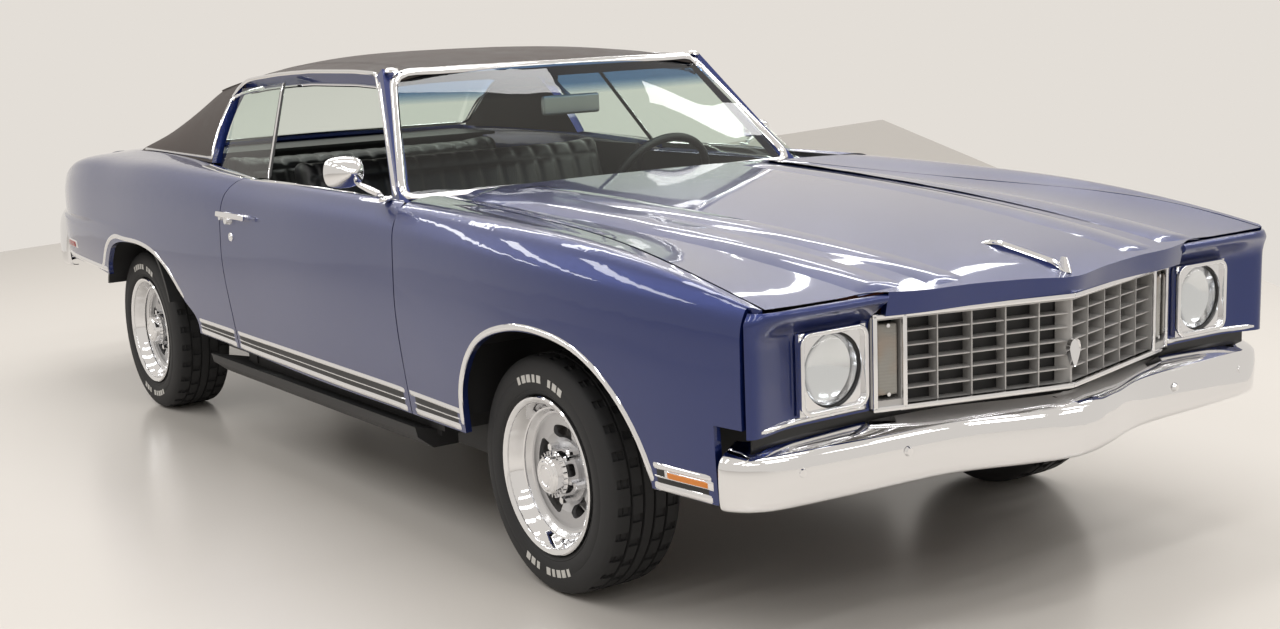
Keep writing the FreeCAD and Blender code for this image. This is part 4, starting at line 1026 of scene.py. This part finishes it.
# %% Bumper blades
END_FROM, END_CURL = 0.965, 12         # the last share of the route curls in by so many millimetres
BLADE_STEPS, BLADE_WALL, SEAM_REACH = 72, 0.003, 0.0004


def curve_through(points, share):
    """Point at a share 0..1 of a smooth curve through the points."""
    last = len(points) - 1
    i = min(int(share * last), last - 1)
    t = share * last - i
    a, b, c, d = (Vector(points[max(0, min(last, k))]) for k in (i - 1, i, i + 1, i + 2))
    bend = (2 * a - 5 * b + 4 * c - d) * t * t
    return 0.5 * (2 * b + (c - a) * t + bend + (3 * b - a - 3 * c + d) * t ** 3)


def blade(name, route, section, node):
    bm = bmesh.new()
    count = 3 * (len(section(0)) - 1)
    facing = -1 if route[0][1] < 0 else 1
    for side in SIDES.values():
        for vert in bmesh.ops.create_grid(bm, x_segments=BLADE_STEPS, y_segments=count, size=1.0)["verts"]:
            t, v = (vert.co.x + 1) / 2, (vert.co.y + 1) / 2
            way = curve_through(route, min(1, t + 0.01)) - curve_through(route, max(0, t - 0.01))
            if t < 0.004:
                way = Vector((1, 0))
            way.normalize()
            out, z = curve_through(section(t), v)
            end = max(0.0, (t - END_FROM) / (1 - END_FROM))
            place = curve_through(route, t) + Vector((-way.y, way.x)) * facing * (out - END_CURL * end * end)
            vert.co = spot(side * place.x, place.y, z)
    bmesh.ops.remove_doubles(bm, verts=bm.verts, dist=SEAM_REACH)
    bmesh.ops.recalc_face_normals(bm, faces=bm.faces)
    bmesh.ops.solidify(bm, geom=bm.faces[:], thickness=BLADE_WALL)
    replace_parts(done(bm, name, CHROME, "car_body", sharp=60), node)


# %% Routes and sections of the bumpers
FRONT_ROUTE = [(0, -966), (70, -955), (150, -930), (330, -872), (600, -853), (780, -836), (846, -812),
               (876, -778), (884, -756)]
REAR_ROUTE = [(0, 4237), (300, 4222), (540, 4180), (690, 4128), (790, 4070), (842, 4000), (858, 3930),
              (858, 3866)]


def front_section(t):
    return [(-12, 387), (2, 386), (11, 390), (16, 400), (18, 425), (19, 460), (17, 488), (10, 502), (-4, 512),
            (-22, 521), (-46, 531)]


def rear_section(t):
    """The rear blade grows taller towards its ends, and its top lip gets narrower."""
    return [(-12, 478), (4, 479), (14, 488), (18, 520), (18, 570), (13, 640), (4, 668 + 14 * t),
            (-10, 684 + 28 * t), (32 * t - 46, 693 + 34 * t)]


blade("front_blade", FRONT_ROUTE, front_section, "front_bumper")
blade("rear_blade", REAR_ROUTE, rear_section, "rear_bumper")
tell("bumpers")

# %% [markdown]
# ## Tyres
# A tyre is a half section spun round the axle.  Grooves round the tread are
# steps in the section.  The cross cuts could be booleans, but sinking every third
# face of the shoulders is quick and keeps the mesh clean: each shoulder becomes a
# row of blocks.

# %% Tyres
BEAD, SHOULDER, HALF_WIDTH = 0.1915, 0.300, 0.109
CROSS_CUTS, CUT_DEPTH, CUT_EDGE = 84, 0.006, 0.0012
TREAD_R = AXLE_Z
HALF_SECTION = [(BEAD, 0.086), (0.2065, 0.091), (0.209, 0.098), (0.2180, 0.1045), (0.2200, 0.1035),
                (0.2240, 0.1065), (0.2420, HALF_WIDTH), (0.2520, HALF_WIDTH), (0.2560, 0.1075),
                (0.2600, 0.1083), (0.2760, 0.1065), (0.2900, 0.1025), (SHOULDER, 0.0960), (0.3045, 0.0890),
                (0.3075, 0.0760), (0.3078, 0.0560), (0.3005, 0.0550), (0.3005, 0.0490), (TREAD_R, 0.0480),
                (TREAD_R, 0.0200), (0.3010, 0.0190), (0.3010, 0.0130), (TREAD_R, 0.0120)]


def is_cut(centre):
    """Every third face of the shoulder is cut, and of the middle rib the one after it."""
    third = int(math.atan2(centre.z, centre.y) / math.tau * CROSS_CUTS + 1000.5) % 3
    reach, out = math.hypot(centre.y, centre.z), abs(centre.x)
    shoulder = reach > 0.3025 and out > 0.058 and third == 0
    rib = reach > 0.3060 and 0.022 < out < 0.046 and third == 1
    return shoulder or rib


def tyre(name):
    hub = middle("tyre_" + name)
    bm = bmesh.new()
    turned(bm, HALF_SECTION + [(r, -a) for r, a in HALF_SECTION[::-1]], hub, (1, 0, 0), CROSS_CUTS)
    bmesh.ops.remove_doubles(bm, verts=bm.verts, dist=MERGE)
    bmesh.ops.recalc_face_normals(bm, faces=bm.faces)
    cuts = [face for face in bm.faces if is_cut(face.calc_center_median() - hub)]
    bmesh.ops.inset_individual(bm, faces=cuts, thickness=CUT_EDGE, depth=-CUT_DEPTH, use_even_offset=True)
    piece = done(bm, "tyre_rubber_" + name, RUBBER, "road_wheel_" + name, sharp=30)
    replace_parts(piece, "tyre_" + name)


for name in WHEELS:
    tyre(name)
tell("tyres")

# %% [markdown]
# ## Raised marks, caps, nuts and trim rings
# The sidewall's raised lettering is left as plain white blocks in two arcs.  The
# cap is tall with fins round it, five nuts sit in the disc's rim, and a spun ring
# covers the rim's edge.  What repeats is one shape turned about the hub.

# %% Marks on the sidewall
MARK_REACH, MARK_SIZE, MARK_WIDE, MARK_NARROW = 0.2500, (0.0016, 0.020), 0.0185, 0.0130
MARKS, MARK_GAP, MARK_ANGLE = 9, 5, 0.098          # places in an arc, the empty one, radians between them


def about_hub(hub, out, reach, angle):
    """A place at some reach and angle round the wheel, turned with it."""
    return Matrix.Translation(hub + out) @ Matrix.Rotation(angle, 4, "X") @ Matrix.Translation((0, reach, 0))


def sidewall_marks(name, hub, out):
    marks = bmesh.new()
    for half in (0, 1):
        for k in range(MARKS):
            if k == MARK_GAP:
                continue
            angle = math.pi * half + math.pi / 2 + (k - (MARKS - 1) / 2) * MARK_ANGLE
            place = about_hub(hub, out * (HALF_WIDTH - 0.0002), MARK_REACH, angle)
            verts = add_block(marks, place, (*MARK_SIZE, MARK_WIDE if k % 3 else MARK_NARROW))
            round_edges(marks, verts, 0.0006, 1)
    done(marks, "sidewall_marks_" + name, WHITE_RUBBER, "road_wheel_" + name)


# %% Caps, nuts and trim rings
FINS, FIN_SIZE, FIN_REACH, FIN_OUT = 24, (0.040, 0.010, 0.0035), 0.0545, 0.066
CAP_SECTION = [(0.0, 0.1025), (0.020, 0.1025), (0.022, 0.1010), (0.026, 0.1010), (0.028, 0.1030),
               (0.036, 0.1030), (0.039, 0.1005), (0.045, 0.0990), (0.047, 0.0950), (0.047, 0.0900)]
NUTS, NUT_R, NUT_REACH, NUT_OUT = 5, 0.0105, 0.0735, 0.046
RING_SECTION = [(0.2050, 0.0985), (0.2055, 0.1045), (0.2020, 0.1075), (0.1960, 0.1065), (0.1880, 0.0990),
                (0.1760, 0.0760), (0.1700, 0.0660), (0.1660, 0.0645)]


def cap_fins(name, hub, out):
    fins = bmesh.new()
    for k in range(FINS):
        add_block(fins, about_hub(hub, out * FIN_OUT, FIN_REACH, math.tau * k / FINS), FIN_SIZE)
    turned(fins, CAP_SECTION, hub, out, 40)
    done(fins, "cap_fins_" + name, CHROME, "road_wheel_" + name)


def wheel_nuts(name, hub, out):
    nuts = bmesh.new()
    for k in range(NUTS):
        angle = math.pi / 2 + math.tau * (k + 0.5) / NUTS
        where = hub + out * NUT_OUT + Vector((0, math.cos(angle), math.sin(angle))) * NUT_REACH
        add_disc(nuts, where, out, NUT_R, 0.028, 6, 0.92)
    done(nuts, "wheel_nuts_" + name, CHROME, "road_wheel_" + name)


def trim_ring(name, hub, out):
    ring = bmesh.new()
    turned(ring, RING_SECTION, hub, out, 64)
    done(ring, "trim_ring_" + name, CHROME, "road_wheel_" + name)


for name in WHEELS:
    for make in (sidewall_marks, cap_fins, wheel_nuts, trim_ring):
        make(name, middle("tyre_" + name), Vector((1 if name.endswith("left") else -1, 0, 0)))
tell("wheel details")

# %% [markdown]
# ## Headlamps
# A headlamp is a mirrored bowl behind a bulging lens, held by a bright ring with
# a dark gasket: four turned profiles on one axis.  The fine flutes of the lens
# are a bump, because they are too many and too shallow to model.

# %% Fluted glass
def fluted_glass():
    w = Wiring("fluted_headlamp_glass")
    tip = w.bump(w.blend(0.35, w.waves("X", 38.0), w.waves("Z", 9.0)), 0.5, 0.0015)
    clear = w.add("ShaderNodeBsdfTransparent", Color=(0.90, 0.92, 0.93, 1))
    gloss = w.add("ShaderNodeBsdfGlossy", Color=WHITE, Roughness=0.03, Normal=tip)
    return w.mirrored(clear, gloss, w.outer_mirror(1.6, Normal=tip))


# %% Headlamps
AHEAD = Vector((0, -1, 0))
BEZEL_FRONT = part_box("headlamp_bezels")[0][1]
LAMP_X, LAMP_Z, LAMP_SET_BACK, LAMP_STEPS = 0.624, 0.665, 0.012, 48
LAMP_PARTS = (                         # name, finish, slot, profile, whether its faces are turned outwards
    ("bowl", REFLECTOR, "lamp_glass",
     [(0.0, -0.036), (0.030, -0.034), (0.055, -0.028), (0.074, -0.016), (0.0815, 0.002)], False),
    ("lens", fluted_glass(), "lamp_glass",
     [(0.0, 0.018), (0.022, 0.0172), (0.042, 0.0150), (0.060, 0.0110), (0.073, 0.0060), (0.0800, 0.0005)],
     True),
    ("gasket", SATIN_BLACK, "black_plastic",
     [(0.0790, 0.000), (0.0800, 0.0045), (0.0850, 0.0045), (0.0860, 0.000)], True),
    ("ring", CHROME, "bright",
     [(0.0845, 0.000), (0.0855, 0.0080), (0.0885, 0.0100), (0.0910, 0.0080), (0.0920, 0.0100)], True),
)
headlamps = {}
for side_name, side in SIDES.items():
    centre = Vector((side * LAMP_X, BEZEL_FRONT + LAMP_SET_BACK, LAMP_Z))
    for part, material, slot, profile, turn in LAMP_PARTS:
        bm = bmesh.new()
        turned(bm, profile, centre, AHEAD, LAMP_STEPS)
        name = "headlamp_%s_%s" % (part, side_name)
        headlamps[name] = done(bm, name, material, "car_body", turn=turn)
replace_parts(headlamps["headlamp_lens_left"], "front_lamps")
tell("headlamps")

# %% [markdown]
# ## Square bezels
# Each headlamp sits in a thick bright square with rounded corners.  A plate with
# bevelled corners is inset on both faces, and bridging the two holes opens it.

# %% Square bezels
BEZEL_LEFT, BEZEL_RIGHT, BEZEL_LOW, BEZEL_TOP = 0.529, 0.720, 0.574, 0.756
BEZEL_THICK, BEZEL_CORNER, BEZEL_RIM, BEZEL_ROUND, BEZEL_LAP = 0.018, 0.030, 0.011, 0.0035, 0.004


def square_bezel(side_name, side):
    bm = bmesh.new()
    place = Matrix.Translation((side * (BEZEL_LEFT + BEZEL_RIGHT) / 2, BEZEL_FRONT - 0.002,
                                (BEZEL_LOW + BEZEL_TOP) / 2))
    size = (BEZEL_RIGHT - BEZEL_LEFT + BEZEL_LAP, BEZEL_THICK, BEZEL_TOP - BEZEL_LOW + BEZEL_LAP)
    add_block(bm, place, size)
    upright = [e for e in bm.edges if abs((e.verts[0].co - e.verts[1].co).y) > 0.01]
    bmesh.ops.bevel(bm, geom=upright, offset=BEZEL_CORNER, affect="EDGES", segments=6, profile=0.5,
                    material=-1)
    ends = [f for f in bm.faces if abs(f.normal.y) > 0.9]
    bmesh.ops.inset_region(bm, faces=ends, thickness=BEZEL_RIM, use_even_offset=True)
    caps = [f for f in bm.faces if abs(f.normal.y) > 0.9 and len(f.verts) > 8]
    bridge = [e for f in caps for e in f.edges]
    bmesh.ops.delete(bm, geom=caps, context="FACES_ONLY")
    bmesh.ops.bridge_loops(bm, edges=bridge)
    rims = [e for e in bm.edges if len(e.link_faces) == 2 and e.calc_face_angle() > 1.2]
    bmesh.ops.bevel(bm, geom=rims, offset=BEZEL_ROUND, affect="EDGES", segments=3, profile=0.5, material=-1)
    done(bm, "bezel_frame_" + side_name, CHROME, "car_body")


for side_name, side in SIDES.items():
    square_bezel(side_name, side)
tell("square bezels")

# %% [markdown]
# ## Grille
# The CAD grille already has its fins.  Behind them goes a dark wall, so that the
# light dies between the fins.  Upright parking lamps stand at its ends, ribbed
# and a little warm from the amber bulb inside.  Each half is made square and
# then turned by the angle of the grille's shallow V.

# %% Ribbed lens of the parking lamps
def ribbed_lens():
    w = Wiring("parking_lens")
    ribs = w.waves("Z", 42.0)
    warm = w.between(w.noise(9.0, 1.0), 0.0, 1.0, 0.45, 0.65)
    colour = w.blend(warm, (0.30, 0.29, 0.26, 1), (0.36, 0.25, 0.17, 1))
    return w.set(Base_Color=colour, Roughness=0.12, Coat_Weight=0.8, Coat_Roughness=0.03,
                 Normal=w.bump(ribs, 0.4, 0.001))


PARK_LENS = ribbed_lens()
print("lens:", PARK_LENS.name)

# %% Grille wall, parking lamps and frame
GRILLE_NOSE_Y = -948
GRILLE_TURN = math.atan2(948 - 812, 505)
WALL_BOX = (0.0005, 0.044, 0.556), (0.5235, 0.052, 0.768)
PARK_BOX = (0.4530, 0.006, 0.582), (0.5030, 0.030, 0.744)
BAR_XS, BAR_ZS, BAR_HALF, BAR_FRONT, BAR_BACK = (0.4405, 0.5145), (0.5530, 0.7640), 0.006, -0.007, 0.012
BAR_LOW, BAR_TOP, BAR_END, BAR_ROUND = 0.552, 0.768, 0.521, 0.003


def on_grille(bm, side, name, material):
    """Turns a piece from the grille's own axes (x along its half, y into the car) to its place."""
    place = Matrix.Translation(spot(0, GRILLE_NOSE_Y, 0)) @ Matrix.Rotation(GRILLE_TURN, 4, "Z")
    bmesh.ops.transform(bm, matrix=Matrix.Diagonal((side, 1, 1, 1)) @ place, verts=bm.verts)
    return done(bm, name, material, "car_body")


def grille_pieces(side_name, side):
    wall = bmesh.new()
    add_box(wall, *WALL_BOX)
    on_grille(wall, side, "grille_wall_" + side_name, SATIN_BLACK)
    lens = bmesh.new()
    add_box(lens, *PARK_BOX, 0.0045, 3)
    on_grille(lens, side, "parking_lens_" + side_name, PARK_LENS)
    bars = bmesh.new()
    for x in BAR_XS:
        add_box(bars, (x - BAR_HALF, BAR_FRONT, BAR_LOW), (x + BAR_HALF, BAR_BACK, BAR_TOP), BAR_ROUND)
    for z in BAR_ZS:
        add_box(bars, (0.0, BAR_FRONT, z - BAR_HALF), (BAR_END, BAR_BACK, z + BAR_HALF), BAR_ROUND)
    for z in (0.585, 0.741):
        add_disc(bars, (0.4790, 0.002, z), AHEAD, 0.0045, 0.006, 16)
    on_grille(bars, side, "grille_frame_" + side_name, CHROME)


for side_name, side in SIDES.items():
    grille_pieces(side_name, side)
tell("grille")

# %% [markdown]
# ## Shield
# A plain shield with no mark on it stands at the middle of the grille.  A short
# disc is stretched to a point below its middle and flattened above it.

# %% Shield
SHIELD_R, SHIELD_THICK = 0.030, 0.012
shield = bmesh.new()
centre = spot(0, GRILLE_NOSE_Y - 1, 640)
for vert in add_disc(shield, centre, AHEAD, SHIELD_R, SHIELD_THICK, 24):
    off = vert.co - centre
    low = min(0.0, off.z) / SHIELD_R
    vert.co = centre + Vector((off.x * 0.62 * (1 + low * 0.5), off.y, off.z * (1.45 if off.z < 0 else 0.8)))
shield.normal_update()
front = [f for f in shield.faces if f.normal.y < -0.9]
bmesh.ops.inset_region(shield, faces=front, thickness=0.003, depth=-0.003)
done(shield, "grille_shield", CHROME, "car_body")
tell("shield")

# %% [markdown]
# ## Between the lamps and the bumper
# A bright strip closes the bottom of each lamp panel, and a dark splash wall
# stands behind the bumper.  Round bolt heads hold the bumper to its brackets.

# %% Cap strips, splash wall and bumper bolts
CAP_TREE, BUMPER_TREE = skin("front_caps"), skin("front_bumper")
CAP_INNER_X, CAP_WIDE, CAP_STEPS, CAP_Z = 0.512, 0.355, 24, 0.563
BOLT_XS, BOLT_Z, BOLT_R, BOLT_OUT = (-0.746, -0.458, 0.458, 0.746), 0.464, 0.012, 0.004


def ahead_of(tree, x, z):
    return meets(tree, (x, station(-1300), z), (0, 1, 0))


for side_name, side in SIDES.items():
    found = [ahead_of(CAP_TREE, side * (CAP_INNER_X + CAP_WIDE * i / CAP_STEPS), CAP_Z)
             for i in range(CAP_STEPS + 1)]
    moulding("lamp_panel_strip_" + side_name, traced(found, 10), 15, 6, CHROME, "car_body")
splash = bmesh.new()
add_box(splash, spot(-835, -800, 400), spot(835, -794, 556))
done(splash, "splash_wall", SATIN_BLACK, "car_body")
bolts = bmesh.new()
for x in BOLT_XS:
    place, normal = ahead_of(BUMPER_TREE, x, BOLT_Z)
    add_disc(bolts, place + normal * BOLT_OUT, normal, BOLT_R, 0.007, 20, 0.7)
done(bolts, "bumper_bolts", CHROME, "car_body")
tell("lower front")

# %% [markdown]
# ## Seats
# A bench is two sewn pads.  Each is a closed block that is remeshed into even
# faces and blown up a little as cloth with pressure inside, because stuffing
# pushes a cover out most in its middle.  How far a point may move is capped.
# Pleats and a band are pressed in afterwards: the remesh would lose them.

# %% A stuffed block
PAD_INSET, INSET_REACH, PAD_ROUND, EVEN_SIZE = 13, 1.3, 0.026, 0.012
SWELL_CAP, SWELL_PRESSURE, SWELL_FRAMES = 0.014, 4.0, 20


def block(outline, half):
    """Closed block from a side outline (y, z) in millimetres, both ways from the middle."""
    bm = bmesh.new()
    centre_y = sum(y for y, z in outline) / len(outline)
    centre_z = sum(z for y, z in outline) / len(outline)
    ring = []
    for y, z in outline:
        shrink = 1 - PAD_INSET * INSET_REACH / math.hypot(y - centre_y, z - centre_z)
        place = spot(PAD_INSET - half, centre_y + (y - centre_y) * shrink, centre_z + (z - centre_z) * shrink)
        ring.append(bm.verts.new(place))
    moved = bmesh.ops.extrude_face_region(bm, geom=[bm.faces.new(ring)])["geom"]
    across = Vector((2 * (half - PAD_INSET) * MM, 0, 0))
    bmesh.ops.translate(bm, verts=[v for v in moved if isinstance(v, bmesh.types.BMVert)], vec=across)
    bmesh.ops.recalc_face_normals(bm, faces=bm.faces)
    round_edges(bm, bm.verts, PAD_ROUND, 3)
    return bm


def evaluated(piece):
    """The mesh that a piece has with its modifiers."""
    graph = bpy.context.evaluated_depsgraph_get()
    return bpy.data.meshes.new_from_object(piece.evaluated_get(graph), depsgraph=graph)


def remeshed(piece):
    mesher = piece.modifiers.new("even", "REMESH")
    mesher.mode = "VOXEL"
    mesher.voxel_size = EVEN_SIZE
    mesh = evaluated(piece)
    piece.modifiers.remove(mesher)
    mesh.materials.clear()
    mesh.materials.append(BLACK_VINYL)
    mesh.polygons.foreach_set("use_smooth", [True] * len(mesh.polygons))
    piece.data = mesh


def swell(piece):
    """Blows a pad up as cloth, and keeps the shape it has reached."""
    before = [v.co.copy() for v in piece.data.vertices]
    cloth = piece.modifiers.new("swell", "CLOTH")
    cloth.settings.use_pressure = True
    cloth.settings.uniform_pressure_force = SWELL_PRESSURE
    cloth.settings.effector_weights.gravity = 0.0
    cloth.point_cache.frame_end = SWELL_FRAMES
    for frame_number in range(1, SWELL_FRAMES + 1):
        bpy.context.scene.frame_set(frame_number)
    after = evaluated(piece)
    for vert, old, new in zip(piece.data.vertices, before, after.vertices):
        step = new.co - old
        vert.co = old + step * min(1.0, SWELL_CAP / max(step.length, 1e-6))
    piece.modifiers.remove(cloth)
    bpy.data.meshes.remove(after)
    bpy.context.scene.frame_set(1)


# %% Pleats and the four pads
PLEAT_DEPTH, PLEAT_SOFT, PLAIN_EDGE = 0.010, 0.0085, 55
FACING_FROM, FACING_RATE = 0.25, 2.5
BACKWARD, UPWARD = (0, -0.9, 0.4), (0, -0.2, 1)
FRONT_BACK = [(1800, 590), (1940, 1010), (2030, 1000), (1940, 520), (1880, 480)]
REAR_BACK = [(2500, 680), (2640, 985), (2760, 985), (2640, 600), (2560, 580)]
FRONT_CUSHION = [(1380, 470), (1380, 610), (1850, 610), (1850, 470)]
REAR_CUSHION = [(2265, 570), (2265, 690), (2540, 690), (2540, 570)]
PADS = {                               # outline, half width, the way its pleats face, their spacing, its band
    "front_seat_back": (FRONT_BACK, 640, BACKWARD, 0.080, 930),
    "front_seat_cushion": (FRONT_CUSHION, 640, UPWARD, 0.080, None),
    "rear_seat_back": (REAR_BACK, 600, BACKWARD, 0.075, 920),
    "rear_seat_cushion": (REAR_CUSHION, 600, UPWARD, 0.075, None),
}


def crease(off):
    return math.exp(-(off / PLEAT_SOFT) ** 2)


def pleated(mesh, half, facing, spacing, band):
    """Presses pleats into the facing side, and a sewn band at one height."""
    facing = Vector(facing)
    for vert in mesh.vertices:
        turned_to = vert.normal.dot(facing)
        if turned_to < FACING_FROM or abs(vert.co.x) > (half - PLAIN_EDGE) * MM:
            continue
        press = crease((vert.co.x + spacing / 2) % spacing - spacing / 2)
        if band:
            press = max(press, crease(vert.co.z - band * MM))
        vert.co -= vert.normal * PLEAT_DEPTH * press * min(1.0, (turned_to - FACING_FROM) * FACING_RATE)


def pad(name, outline, half, facing, spacing, band):
    piece = done(block(outline, half), name, BLACK_VINYL, "car_body")
    remeshed(piece)
    swell(piece)
    pleated(piece.data, half, facing, spacing, band)
    smooth = piece.modifiers.new("round", "SUBSURF")
    smooth.levels = smooth.render_levels = 1
    return piece


pads = {name: pad(name, *row) for name, row in PADS.items()}
tell("seat pads")

# %% [markdown]
# ## Seat legs
# The pads take the place of both CAD benches, legs and all, so the front bench
# gets four short feet again.

# %% Seat legs
LEG_XS, LEG_YS, LEG_HALF, LEG_LONG, LEG_LOW, LEG_TOP = (-500, 500), (1440, 1760), 38, 60, 333, 484
legs = bmesh.new()
for x in LEG_XS:
    for y in LEG_YS:
        add_box(legs, spot(x - LEG_HALF, y, LEG_LOW), spot(x + LEG_HALF, y + LEG_LONG, LEG_TOP), 0.006)
done(legs, "seat_legs", FRAME_BLACK, "car_body")
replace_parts(pads["front_seat_back"], "front_bench")
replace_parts(pads["rear_seat_back"], "rear_bench")
tell("seat legs")

# %% [markdown]
# ## Inside mirror and dashboard
# The inside mirror gets a rounded shell on a turned stalk with a foot, and the
# dashboard four dark panels along its rear edge.

# %% Cabin details
STALK_SECTION = [(0.0085, 0), (0.0075, 0.055), (0.0110, 0.100), (0.0240, 0.118), (0.0250, 0.122)]
PANEL_XS, PANEL_HALF, PANEL_LOW, PANEL_TOP = (-0.62, -0.20, 0.20, 0.55), 0.055, 0.775, 0.825
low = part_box("interior_mirror")[0]
shell = bmesh.new()
add_box(shell, (-0.108, low[1] - 0.004, low[2] - 0.004), (0.108, low[1] + 0.020, low[2] + 0.059), 0.009, 4)
turned(shell, STALK_SECTION, Vector((0, low[1] + 0.010, low[2] + 0.050)), Vector((0, 0.88, 0.47)), 20)
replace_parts(done(shell, "mirror_shell", MIRROR_GREY, "car_body"), "interior_mirror")
dash_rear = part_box("dashboard")[1][1]
for k, x in enumerate(PANEL_XS):
    panel = bmesh.new()
    front, rear = dash_rear - 0.010, dash_rear + 0.006
    add_box(panel, (x - PANEL_HALF, front, PANEL_LOW), (x + PANEL_HALF, rear, PANEL_TOP), 0.005)
    done(panel, "dash_panel_%d" % k, SATIN_BLACK, "car_body")
tell("cabin")

# %% [markdown]
# ## Tail
# A bright frame with a middle bar goes round each tail lamp, turned with the
# tail panel's curve, and a bright strip runs along the lid's rear face.

# %% Tail trim
TAIL_Y, TAIL_CROWN, TAIL_HALF = 4150, 145, 812     # the panel's middle, and how far its ends curve forward
LAMP_OUT_X, TAIL_LAMP_Z, TAIL_LAMP_OUT = 650, 0.744, 0.018
FRAME_BARS = ((-0.083, 0.083, 0.042, 0.050), (-0.083, 0.083, -0.050, -0.042), (-0.083, -0.075, -0.050, 0.050),
              (0.075, 0.083, -0.050, 0.050), (-0.002, 0.002, -0.042, 0.042))
LID_HALF, LID_STEPS, LID_Z = 0.62, 59, 0.825
for side_name, side in SIDES.items():
    bars = bmesh.new()
    for x0, x1, z0, z1 in FRAME_BARS:
        add_box(bars, (x0, -0.008, z0), (x1, 0.006, z1), 0.0015)
    lamp_y = station(TAIL_Y - TAIL_CROWN * (LAMP_OUT_X / TAIL_HALF) ** 2) + TAIL_LAMP_OUT
    turn = Matrix.Rotation(-side * math.atan(2 * TAIL_CROWN * LAMP_OUT_X / TAIL_HALF ** 2), 4, "Z")
    place = Matrix.Translation(Vector((side * LAMP_OUT_X * MM, lamp_y, TAIL_LAMP_Z))) @ turn
    bmesh.ops.transform(bars, matrix=place, verts=bars.verts)
    done(bars, "tail_lamp_frame_" + side_name, CHROME, "car_body")
deck_tree = skin("trunk_lid")
lid_xs = [-LID_HALF + 2 * LID_HALF * k / LID_STEPS for k in range(LID_STEPS + 1)]
lid_edge = [meets(deck_tree, (x, station(4600), LID_Z), (0, -1, 0)) for x in lid_xs]
moulding("lid_strip", traced(lid_edge, 4), 14, 5, CHROME, "deck_lid")
tell("tail trim")

# %% [markdown]
# ## Studio
# The floor and the air are the same pale warm tone.  A white room could be lit
# by brighter lamps, but then the car would lose its colour.  So the air is pale
# only where the camera or a reflection sees it, and dimmer as a light.  Rows of
# strip lamps hang over the car, because the long bright lines in the paint come
# from them.

# %% Floor
BACKDROP = (0.77, 0.73, 0.68, 1)
FLOOR_SIZE = 22
WALL_LINES = [(69, 8753, 532, 8908), (4643, 1993, 4274, 1463)]   # where the floor meets the walls


def studio_floor():
    bm = bmesh.new()
    bmesh.ops.create_grid(bm, x_segments=1, y_segments=1, size=FLOOR_SIZE)
    for x0, y0, x1, y1 in WALL_LINES:
        way = spot(x1, y1, 0) - spot(x0, y0, 0)
        bmesh.ops.bisect_plane(bm, geom=bm.verts[:] + bm.edges[:] + bm.faces[:], plane_co=spot(x0, y0, 0),
                               plane_no=(-way.y, way.x, 0), clear_outer=True)
    mesh = bpy.data.meshes.new("floor")
    bm.to_mesh(mesh)
    bm.free()
    mesh.materials.append(plain("studio_floor", BACKDROP[:3], 0.22))
    floor = bpy.data.objects.new("floor", mesh)
    bpy.context.scene.collection.objects.link(floor)


studio_floor()
print("floor reaches", FLOOR_SIZE, "m each way, cut at", len(WALL_LINES), "walls")

# %% Air and lamps
AIR_LIGHT = 0.62
STRIP_POWER, STRIP_LONG, STRIP_WIDE, STRIP_Z = 17, 2.4, 0.32, 3.5
STRIP_XS, STRIP_ROWS, STRIP_FIRST_Y, STRIP_APART = (-3.4, 0.0, 3.4), 8, -6.2, 1.5


def studio_air():
    world = bpy.data.worlds.new("studio_air")
    bpy.context.scene.world = world
    world.use_nodes = True
    tree = world.node_tree
    tree.nodes["Background"].inputs["Color"].default_value = BACKDROP
    path = tree.nodes.new("ShaderNodeLightPath")
    seen = path.outputs["Is Camera Ray"]
    for ray in ("Is Glossy Ray", "Is Transmission Ray"):
        either = tree.nodes.new("ShaderNodeMath")
        either.operation = "MAXIMUM"
        tree.links.new(seen, either.inputs[0])
        tree.links.new(path.outputs[ray], either.inputs[1])
        seen = either.outputs[0]
    strength = tree.nodes.new("ShaderNodeMapRange")
    strength.inputs["To Min"].default_value = AIR_LIGHT
    tree.links.new(seen, strength.inputs["Value"])
    tree.links.new(strength.outputs["Result"], tree.nodes["Background"].inputs["Strength"])


def strip_lamp(name, where):
    data = bpy.data.lights.new(name, "AREA")
    data.shape = "RECTANGLE"
    data.size, data.size_y = STRIP_LONG, STRIP_WIDE
    data.energy = STRIP_POWER
    lamp = bpy.data.objects.new(name, data)
    lamp.location = where
    bpy.context.scene.collection.objects.link(lamp)


studio_air()
for row in range(STRIP_ROWS):
    for column, x in enumerate(STRIP_XS):
        strip_lamp("ceiling_strip_%d_%d" % (row, column), (x, STRIP_FIRST_Y + STRIP_APART * row, STRIP_Z))
bpy.context.scene.view_settings.view_transform = "Standard"
print("strip lamps:", len(bpy.data.lights))
